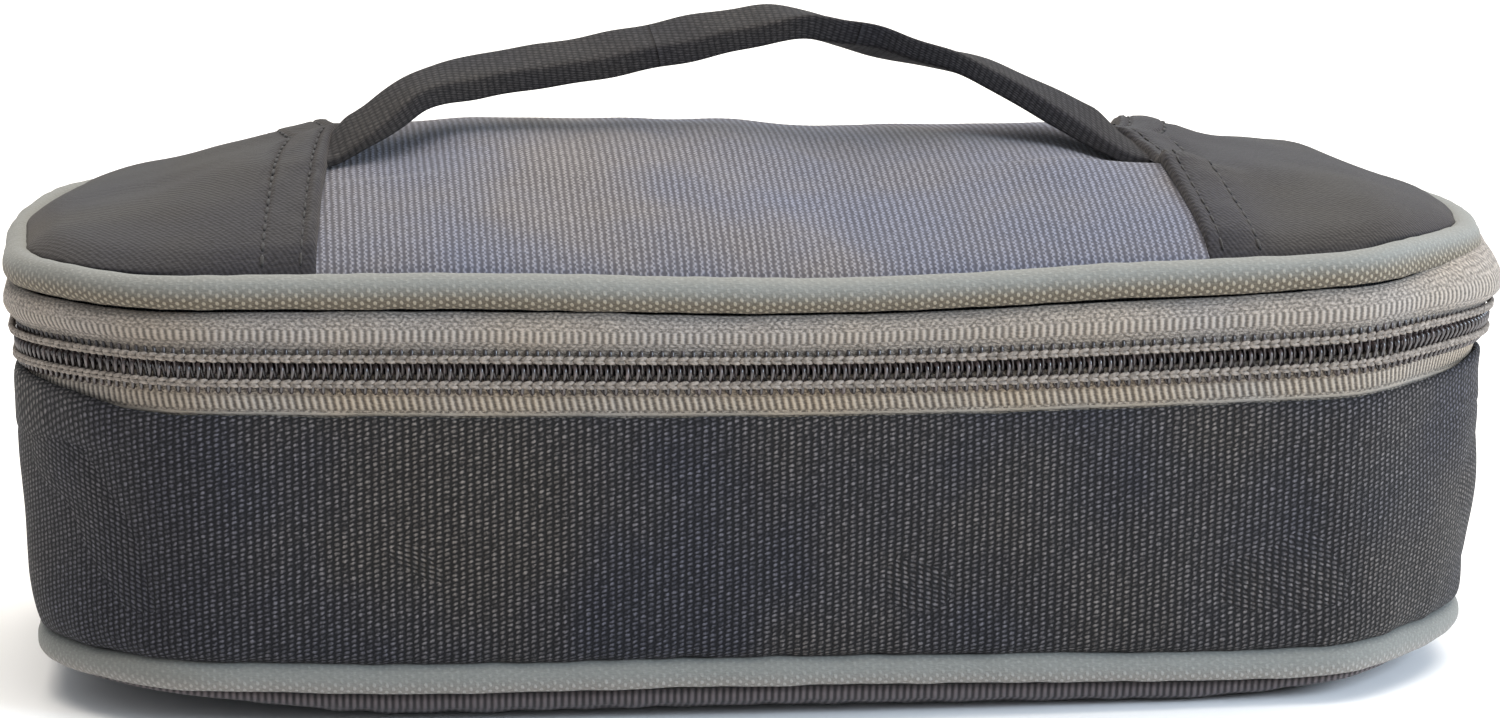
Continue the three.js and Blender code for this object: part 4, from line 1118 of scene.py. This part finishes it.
def hinge():
    """The gusset at the back, between tub and lid."""
    half = HINGE_HALF + 0.6
    x = spaced(-half, half, 0.8)
    line, v = evenly(tape_profile(HINGE_LINE, 0.8), 0.5, True)
    insets, heights = line.T
    lift = 0.12 * ripple(x[:, None], heights, 14, 71)
    rows = np.broadcast_arrays(x[:, None], HALF_DEPTH - insets + lift, heights)
    made = grid("hinge_gusset_cloth", np.stack(rows, -1), x, v)
    dressed(made, MATERIALS["wall_cloth"])
    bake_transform(made)
    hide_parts("hinge_gusset_lower", "hinge_gusset_upper")


# Lid

def seam_share(x, y):
    """How far a plan point lies from the lid's ridge: 0 on the ridge and 1 on the seam."""
    dx = np.maximum(np.abs(x) - RIDGE_HALF, 0)
    dy = np.abs(y)
    reach = HALF_LENGTH - SEAM_INSET - RIDGE_HALF
    breadth = HALF_DEPTH - SEAM_INSET
    radius = CORNER - SEAM_INSET
    cx, cy = reach - radius, breadth - radius
    across = dx * cx + dy * cy
    square = dx * dx + dy * dy
    inner = cx * cx + cy * cy - radius * radius
    round_share = square / np.maximum(across + np.sqrt(np.maximum(across**2 - square * inner, 0)), 1e-9)
    share = np.where(dx * (breadth - radius) >= dy * reach, dx / reach, round_share)
    return np.where(dy * (reach - radius) >= dx * breadth, dy / breadth, share)


# Between which shares of the way in from the seam the roll rises and falls again
SEAM_ROLLS = ((-0.03, 0.03), (0.05, 0.45))


def crown(x, y):
    """Height of the lid's crown, which starts with a steep roll against the piping."""
    share = seam_share(x, y)
    roll = SEAM_ROLL * hump(1 - share, *SEAM_ROLLS)
    return SEAM_HEIGHT + CROWN_RISE * (1 - share**CROWN_ROUNDNESS) + roll


# Valleys in the lid beside the handle's ends: side, depth, the places along the bag between which
# each one deepens, its crease towards the front and how far back it reaches
VALLEYS = (
    (-1, 1.1, (47, 61), (-27.5, -24), (-17, 6)),
    (1, 2.5, (28, 60), (-22.5, -20), (-13, 12)),
)
VALLEY_ENDS = (70, 82)


def valleys(x, y):
    """How far the lid sinks beside the handle's sewn ends, behind a crease."""
    depth = 0.0
    for side, deepest, along, crease, back in VALLEYS:
        depth = depth + deepest * hump(y, crease, back) * hump(side * x, along, VALLEY_ENDS)
    return depth


def lid_rest(x, y):
    """Soft unevenness of the lid, none at its seam."""
    free = 1 - smooth(seam_share(x, y), 0.75, 1.0)
    slow = 0.35 * ripple(x, y, 60, 81) + 0.15 * ripple(x, y, 22, 82)
    return free * slow - valleys(x, y)


# Where the middle panel ends under the two hems
CENTRE_ENDS = (-74, 69)


def centre_panel():
    half = HALF_DEPTH - SEAM_INSET + 0.5
    x = spaced(*CENTRE_ENDS, CENTRE_RIB / 4)
    near = half - np.array([0, 0.25, 0.5, 0.8, 1.2, 1.8])
    top = np.concatenate([-near, spaced(2.5 - half, half - 2.5, 1.0), near[::-1]])
    y = np.concatenate([top, top[::-6]])
    is_top = np.arange(len(y)) < len(top)
    gx, gy = np.meshgrid(x, y, indexing="ij")
    ribs = 0.03 * (0.5 + 0.5 * np.cos(TURN * gx / CENTRE_RIB))
    z = crown(gx * 0, gy) + lid_rest(gx, gy) + np.where(is_top[None], ribs, -0.5)
    points = slumped(np.stack([gx, gy, z], -1))
    v = running_sum(np.abs(np.diff(y, append=y[0])))
    made = grid("lid_ribbed_panel", points, x, v)
    return placed(made, "lid", "ribbed_cloth", ["lid_centre_panel"])


HEM_GAP = 0.3
# How far the hems' edges stand out from the ridge's ends, at the ridge and at the seam, and the bend
HEM_SLANTS = {-1: (1.1, 6.8, 0.55), 1: (-5.7, 1.2, 0.42)}
# How far the hem is lifted over the strap, and the distances behind its edge and beside the strap's
# middle between which that fades
HEM_OVER_STRAP = 0.9
STRAP_RUN = (2, 9)
STRAP_SIDE = (8, 16)
STRAP_FORWARD = 12.5
THINNEST_HEM = 0.15
PUFFS = {-1: 3.4, 1: 2.8}
# Each hem's rows of stitches: distance from the folded edge and thickness of the thread
HEM_ROWS = ((2.35, 1.0), (8.3, 1.7))
HEM_ROW_HALF = 52.5
HEM_STITCH = 2.9
# One of their stitches: places along it, how deep it lies and the thread's radius
HEM_STITCH_ALONG = (0.0, 0.4, 1.05, 1.7, 2.1)
HEM_STITCH_SUNK = (0.12, 0.0, 0.0, 0.0, 0.12)
HEM_STITCH_RADII = (0.1, 0.17, 0.18, 0.17, 0.1)


def hem_lift(run):
    """Height of the end panel above the middle one, at a distance from the hem's folded edge."""
    places = (0, 0.25, 0.7, 1.5, 2.2, 2.9, 5.0, 7.6, 8.3, 9.0, 10.5, 14, 30)
    heights = (0.55, 1.25, 1.75, 1.85, 1.35, 1.75, 1.8, 1.65, 1.15, 1.35, 1.5, 1.4, 1.2)
    return np.interp(run, places, heights)


def hem_slant(side, x, y):
    """The hem's folded edge runs askew: where its x lies at a distance from the ridge line."""
    at_ridge, at_seam, bend = HEM_SLANTS[side]
    share = np.clip(np.abs(y) / (HALF_DEPTH - SEAM_INSET), 0, 1) ** bend
    moved = at_ridge + (at_seam - at_ridge) * share
    return x + moved * (1 - smooth(x, RIDGE_HALF + 9, RIDGE_HALF + 38))


def panel_top(side, x, y, run):
    """Height of an end panel's outer face, where its neat x lies run beyond the hem's edge."""
    slanted = hem_slant(side, x, y)
    seam = smooth(seam_share(slanted, y), 0.9, 1.0)
    over_strap = (1 - smooth(run, *STRAP_RUN)) * (1 - smooth(np.abs(y + STRAP_FORWARD), *STRAP_SIDE))
    lift = hem_lift(run) * (1 - 0.75 * seam) + HEM_OVER_STRAP * over_strap
    return crown(slanted, y) + lid_rest(side * slanted, y) + lift


def puffed(side, x, y):
    """An end panel's plan points, pushed outwards where its padding rolls over the piping."""
    share = seam_share(x, y)
    away = np.maximum(np.hypot(x - RIDGE_HALF, y), 1)
    push = PUFFS[side] * hump(share, (0.6, 0.985), (0.985, 1.0))
    push = push * smooth(x, 90, 108) * (1 - smooth(y, 0, 25))
    return x + push * (x - RIDGE_HALF) / away, y + push * y / away


def plan_grid(x, inset, count):
    """Plan points at each x, from the front of the outline at an inset to its back and back again
    below: their x and y, their shares of the way across and whether they lie on top."""
    radius = CORNER - inset
    widest = FLAT_Y + np.sqrt(np.maximum(radius**2 - np.maximum(np.abs(x) - FLAT_X, 0) ** 2, 0))
    across = np.sin(np.linspace(-math.pi / 2, math.pi / 2, count))
    shares = np.concatenate([across, across[::-1]])
    is_top = np.arange(len(shares)) < len(across)
    gx = np.broadcast_to(x[:, None], (len(x), len(shares)))
    return gx, widest[:, None] * shares, shares, is_top


def end_panel(side, name, node):
    edge = RIDGE_HALF - HEM_GAP
    reach = HALF_LENGTH - SEAM_INSET
    run = np.concatenate([[0, 0.12, 0.25, 0.45], spaced(0.7, 12, 0.4), spaced(13, 20, 1.0)])
    arc = FLAT_X + (reach - FLAT_X) * np.sin(np.linspace(0, math.pi / 2, 22))
    x = np.concatenate([edge + run, arc[arc > edge + run[-1] + 0.5]])
    gx, gy, shares, is_top = plan_grid(x, SEAM_INSET, 73)
    top = panel_top(side, gx, gy, gx - edge) + 0.1 * ripple(gx, gy, 9, 90 + side) * (gx < edge + 10)
    slanted = hem_slant(side, gx, gy)
    under = crown(slanted, gy) + lid_rest(side * slanted, gy) + 0.32
    z = np.where(is_top[None], top, np.minimum(under, top[:, ::-1] - THINNEST_HEM))
    plan_x, plan_y = puffed(side, slanted, gy)
    points = slumped(np.stack([side * plan_x, plan_y, z], -1))
    v = running_sum(np.abs(np.diff(HALF_DEPTH * shares, append=-HALF_DEPTH)))
    made = grid(name, points, side * x, v)
    outwards(made)
    planar_uv(made)
    placed(made, "lid", "panel_cloth", [node])
    hem_stitches(side, edge)


def planar_uv(made):
    """Lays the cloth's coordinates flat over the plan, so that its weave runs straight."""
    mesh = made.data
    corners = np.zeros(len(mesh.loops), int)
    mesh.loops.foreach_get("vertex_index", corners)
    co = np.zeros(len(mesh.vertices) * 3)
    mesh.vertices.foreach_get("co", co)
    flat = co.reshape(-1, 3)[corners][:, :2] / MM
    mesh.uv_layers["cloth"].data.foreach_set("uv", flat.astype(np.float32).ravel())


def hem_stitches(side, edge):
    end = "left" if side < 0 else "right"
    for row, (run, thickness) in enumerate(HEM_ROWS, 1):
        y = np.arange(-HEM_ROW_HALF, HEM_ROW_HALF, HEM_STITCH)[:, None] + np.array(HEM_STITCH_ALONG)
        x = edge + run + 0 * y
        z = panel_top(side, x, y, run) + 0.1 - np.array(HEM_STITCH_SUNK)
        paths = np.stack([side * hem_slant(side, x, y), y, z], -1)
        made = strands(f"hem_stitches_{end}_{row}", paths, thickness * np.array(HEM_STITCH_RADII))
        placed(made, "lid", "thread_dark")


def lid_inside(name, inset, top, thickness, material, nodes, seed, amount):
    """A layer under the lid's cloth, from a plan grid that follows the outline."""
    reach_y = HALF_DEPTH - inset
    arc = FLAT_X + (CORNER - inset) * np.sin(np.linspace(0, math.pi / 2, 16))
    half = np.concatenate([spaced(0, FLAT_X, 2.5)[:-1], arc])
    x = np.concatenate([-half[::-1], half[1:]])
    gx, gy, shares, is_top = plan_grid(x, inset, 49)
    crinkle = amount * ripple(gx, gy, 14, seed) * (1 - smooth(seam_share(gx, gy), 0.8, 0.93))
    z = crown(gx, gy) + (lid_rest(gx, gy) + crinkle) + top - np.where(is_top[None], 0, thickness)
    v = running_sum(np.abs(np.diff(reach_y * shares, append=-reach_y)))
    made = grid(name, slumped(np.stack([gx, gy, z], -1)), x, v)
    outwards(made)
    planar_uv(made)
    return placed(made, "lid", material, nodes)


# Handle

# Places along the handle: x and z of its middle, width, thickness, how far its front edge dips and
# how far forward it lies
HANDLE_TABLE = (
    (-72.0, 85.6, 13.5, 1.2, 0.32, 13.5),
    (-68.5, 86.3, 13.5, 1.3, 0.34, 13.0),
    (-66.5, 87.0, 13.5, 1.5, 0.30, 12.5),
    (-63.0, 88.8, 13.5, 2.2, 0.24, 11.0),
    (-59.0, 91.1, 13.0, 3.0, 0.20, 8.5),
    (-55.0, 93.2, 12.6, 3.4, 0.18, 6.0),
    (-51.0, 94.4, 12.3, 3.7, 0.18, 4.0),
    (-45.0, 95.3, 12.2, 3.9, 0.20, 2.0),
    (-28.0, 97.6, 12.0, 3.9, 0.24, 0.0),
    (-12.0, 100.5, 12.0, 3.9, 0.24, 0.0),
    (-2.0, 102.4, 12.0, 3.9, 0.20, 0.0),
    (4.5, 103.2, 12.0, 3.9, 0.12, 0.0),
    (10.0, 103.0, 12.0, 4.3, -0.04, 0.0),
    (16.0, 101.4, 12.0, 4.3, -0.16, 0.0),
    (25.0, 98.9, 11.8, 3.9, -0.20, 0.0),
    (37.0, 95.6, 11.8, 3.5, 0.02, 0.5),
    (45.0, 92.0, 11.8, 3.7, 0.12, 2.0),
    (51.0, 88.9, 12.0, 3.5, 0.20, 4.5),
    (56.0, 86.3, 12.2, 3.1, 0.28, 7.5),
    (60.0, 84.7, 12.4, 2.3, 0.32, 10.5),
    (64.0, 82.8, 12.6, 1.5, 0.32, 12.5),
    (69.0, 82.0, 13.0, 1.2, 0.32, 13.5),
)
HANDLE_OUTER = [
    (1.0, 0.0), (1.0, 0.7), (0.93, 0.97), (0.4, 1.0), (-0.4, 1.0), (-0.93, 0.97), (-1.0, 0.7),
]
WEBBING_HALF = 6.5


def handle_section(step):
    """Half-width and half-thickness shares round the webbing, which is folded in half."""
    lower = [(-a, -b) for a, b in HANDLE_OUTER]
    return evenly(softened(HANDLE_OUTER + lower, 2, True), step, True)


# Between which distances from the middle the webbing comes to lie flat on the lid, left and right
HANDLE_LANDS = {"left": (66.0, 71.5), "right": (57.0, 64.5)}


def laid_down(side, x, y, z, thick, up):
    """The webbing's end on one side of the lid, lying on it under the askew edge of the hem."""
    sewn = smooth(side * x, *HANDLE_LANDS["left" if side < 0 else "right"])
    top = crown(0 * y, y)
    rest = top + lid_rest(x, y) + crown_rise(x, top) + 0.2 + (up + 1) * thick / 2
    askew = hem_slant(side, RIDGE_HALF, y) - hem_slant(side, RIDGE_HALF, 0 * y - STRAP_FORWARD)
    return x + sewn * side * askew, y, z * (1 - sewn) + rest * sewn


def handle_piece(name, low, high, side=0):
    table = np.array(HANDLE_TABLE)
    run = running_sum(np.hypot(*np.diff(table[:, :2], axis=0).T))
    dense = spaced(0, run[-1], 0.7)
    rows = [through(dense, run, column) for column in table.T]
    first, last = (np.searchsorted(rows[0], max(end, rows[0][0]), "right") - 1 for end in (low, high))
    keep = slice(first, last + 1)
    along = dense[keep][:, None]
    x, z, width, thick, dip, forward = (row[keep][:, None] for row in rows)
    ahead_x, ahead_z = np.gradient(x, axis=0), np.gradient(z, axis=0)
    length = np.hypot(ahead_x, ahead_z)
    section, around = handle_section(0.1)
    across = section[None, :, 0] * width / 2
    up = section[None, :, 1] * thick / 2
    wave = 0.12 * ripple(along, 3 * section[None, :, 0], 12, 131)
    lift = up * np.cos(dip) - across * np.sin(dip) + wave
    y = up * np.sin(dip) - across * np.cos(dip) - forward
    x, z = x - ahead_z / length * lift, z + ahead_x / length * lift
    if side:
        x, y, z = laid_down(side, x, y, z, thick, section[None, :, 1])
    made = grid(name, np.stack([x, y, z], -1), dense[keep], around * WEBBING_HALF)
    return dressed(made, MATERIALS["webbing"])


# Places along the webbing, left and right: an outer one, and an inner one where its middle, which swings
# with the handle, gives way to its end pieces
HANDLE_BENDS = {-1: (65.5, 15.0), 1: (60.5, 18.0)}
HANDLE_TIPS = {-1: 72, 1: 69}


def handle():
    strap = handle_piece("handle_webbing", -HANDLE_BENDS[-1][1], HANDLE_BENDS[1][1])
    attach(strap, "handle")
    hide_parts("handle_strap")
    for side, name in ((-1, "left"), (1, "right")):
        outer, inner = HANDLE_BENDS[side]
        places = sorted((side * inner, side * HANDLE_TIPS[side]))
        end = handle_piece(f"handle_webbing_{name}", *places, side)
        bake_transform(end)
        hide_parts(f"handle_end_{name}")


# Slider

# Faces that meet at less than the first angle are one, and edges sharper than the second are rounded
FLAT_ANGLE = 0.03
EDGE_ANGLE = 0.6


def bevelled(node, name, body, width):
    """One of the frame's metal pieces with its edges rounded."""
    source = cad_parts[node]
    work = bmesh.new()
    work.from_mesh(source.data)
    bmesh.ops.remove_doubles(work, verts=work.verts, dist=1e-6)
    bmesh.ops.dissolve_limit(work, angle_limit=FLAT_ANGLE, verts=work.verts, edges=work.edges)
    mesh = bpy.data.meshes.new(name)
    work.to_mesh(mesh)
    work.free()
    made = linked(name, mesh)
    bevel = made.modifiers.new("rounding", "BEVEL")
    bevel.width = width * MM
    bevel.segments = 3
    bevel.limit_method = "ANGLE"
    bevel.angle_limit = EDGE_ANGLE
    bpy.context.view_layer.update()
    final = bpy.data.meshes.new_from_object(made.evaluated_get(bpy.context.evaluated_depsgraph_get()))
    made.modifiers.clear()
    made.data = final
    final.polygons.foreach_set("use_smooth", np.ones(len(final.polygons), bool))
    return placed(made, body, "slider_metal", [node])


# Stage

# Soft lights: place and size in millimetres, watts and colour
LIGHTS = {
    "overhead": ((200, 500, 2200), 3000, 112.0, (1.0, 0.92, 0.82)),
    "front": ((600, -450, 350), 300, 6.0, (0.72, 0.85, 1.0)),
}
LIGHTS_AIM = (0, 0, 40)
WORLD_COLOUR = (0.88, 0.94, 1.0, 1)
WORLD_STRENGTH = 0.6
FLOOR_HALF = 6000


def studio():
    scene = bpy.context.scene
    scene.view_settings.view_transform = "Standard"
    world = bpy.data.worlds.new("studio")
    scene.world = world
    world.use_nodes = True
    background = world.node_tree.nodes["Background"]
    background.inputs["Color"].default_value = WORLD_COLOUR
    background.inputs["Strength"].default_value = WORLD_STRENGTH
    corners = [(x, y, 0) for x, y in ((-1, -1), (1, -1), (1, 1), (-1, 1))]
    floor = mesh_object("floor", np.array(corners) * FLOOR_HALF, [[0, 1, 2, 3]])
    surface = Surface("floor_paper")
    grain = surface.noise(surface.place, 30.0)
    colour = surface.mixed(grain, (0.88, 0.88, 0.88), (0.90, 0.90, 0.90))
    floor.data.materials.append(surface.finish(colour, 0.9))
    floor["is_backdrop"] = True
    for name, (place, size, power, colour) in LIGHTS.items():
        light = bpy.data.lights.new(name, "AREA")
        light.size = size * MM
        light.energy = power
        light.color = colour
        lamp = linked(name, light)
        lamp.location = Vector(place) * MM
        aim = Vector(LIGHTS_AIM) * MM - lamp.location
        lamp.rotation_euler = aim.to_track_quat("-Z", "Y").to_euler()


def camera():
    data = bpy.data.cameras.new("camera")
    seen = linked("camera", data)
    data.sensor_width = SENSOR
    data.lens = CAMERA_FOCAL_PIXELS / PICTURE[0] * SENSOR
    data.shift_x = (PICTURE[0] / 2 - CAMERA_CENTRE[0]) / PICTURE[0]
    data.shift_y = (CAMERA_CENTRE[1] - PICTURE[1] / 2) / PICTURE[0]
    data.clip_start = 0.01
    data.clip_end = 50
    s, c = math.sin(CAMERA_YAW), math.cos(CAMERA_YAW)
    away = Vector((-s, -c, 0)) * CAMERA_DISTANCE
    right = Vector((c, -s, 0))
    ahead = Vector((s * math.cos(CAMERA_PITCH), c * math.cos(CAMERA_PITCH), -math.sin(CAMERA_PITCH)))
    up = right.cross(ahead)
    basis = Matrix((right, up, -ahead)).transposed().to_4x4()
    basis = basis @ Matrix.Rotation(-CAMERA_ROLL, 4, "Z")
    seen.matrix_world = Matrix.Translation((away + Vector((0, 0, CAMERA_HEIGHT))) * MM) @ basis
    bpy.context.scene.camera = seen


camera()
studio()
wall()
base()
piping("lower_piping", LOWER_PIPING, "tub", "lower_piping_cloth_painted_light", ["bottom_piping_cover"], 101)
piping_cord("lower_piping_core", LOWER_PIPING, "tub", ["bottom_piping_cord"])
seam_binding("lower_binding", 10.4, 8.5, 12.5, "tub", ["bottom_seam_binding"])
zip_tapes()
zip_chain()
hinge()
piping("upper_piping", UPPER_PIPING, "lid", "upper_piping_cloth_painted_shade", ["top_piping_cover"], 111)
piping_cord("upper_piping_core", UPPER_PIPING, "lid", ["top_piping_cord"])
seam_binding("upper_binding", 6.0, 64.8, 68.8, "lid", ["top_seam_binding"])
centre_panel()
end_panel(-1, "lid_end_left", "lid_end_panel_left")
end_panel(1, "lid_end_right", "lid_end_panel_right")
lid_padding = lid_inside("lid_padding", 7.7, -1.2, 3.0, "foam", ["lid_foam"], 121, 0.0)
lid_inside("lid_lining_sheet", 7.7, -4.5, 0.5, "lining", ["lid_lining"], 122, 0.25)
handle()
bevelled("slider_body", "slider_casting", "slider", 0.22)
bevelled("pull_tab", "pull_casting", "pull", 0.3)

boxes = [[list(corner) for corner in box] for box in (cad_box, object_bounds())]
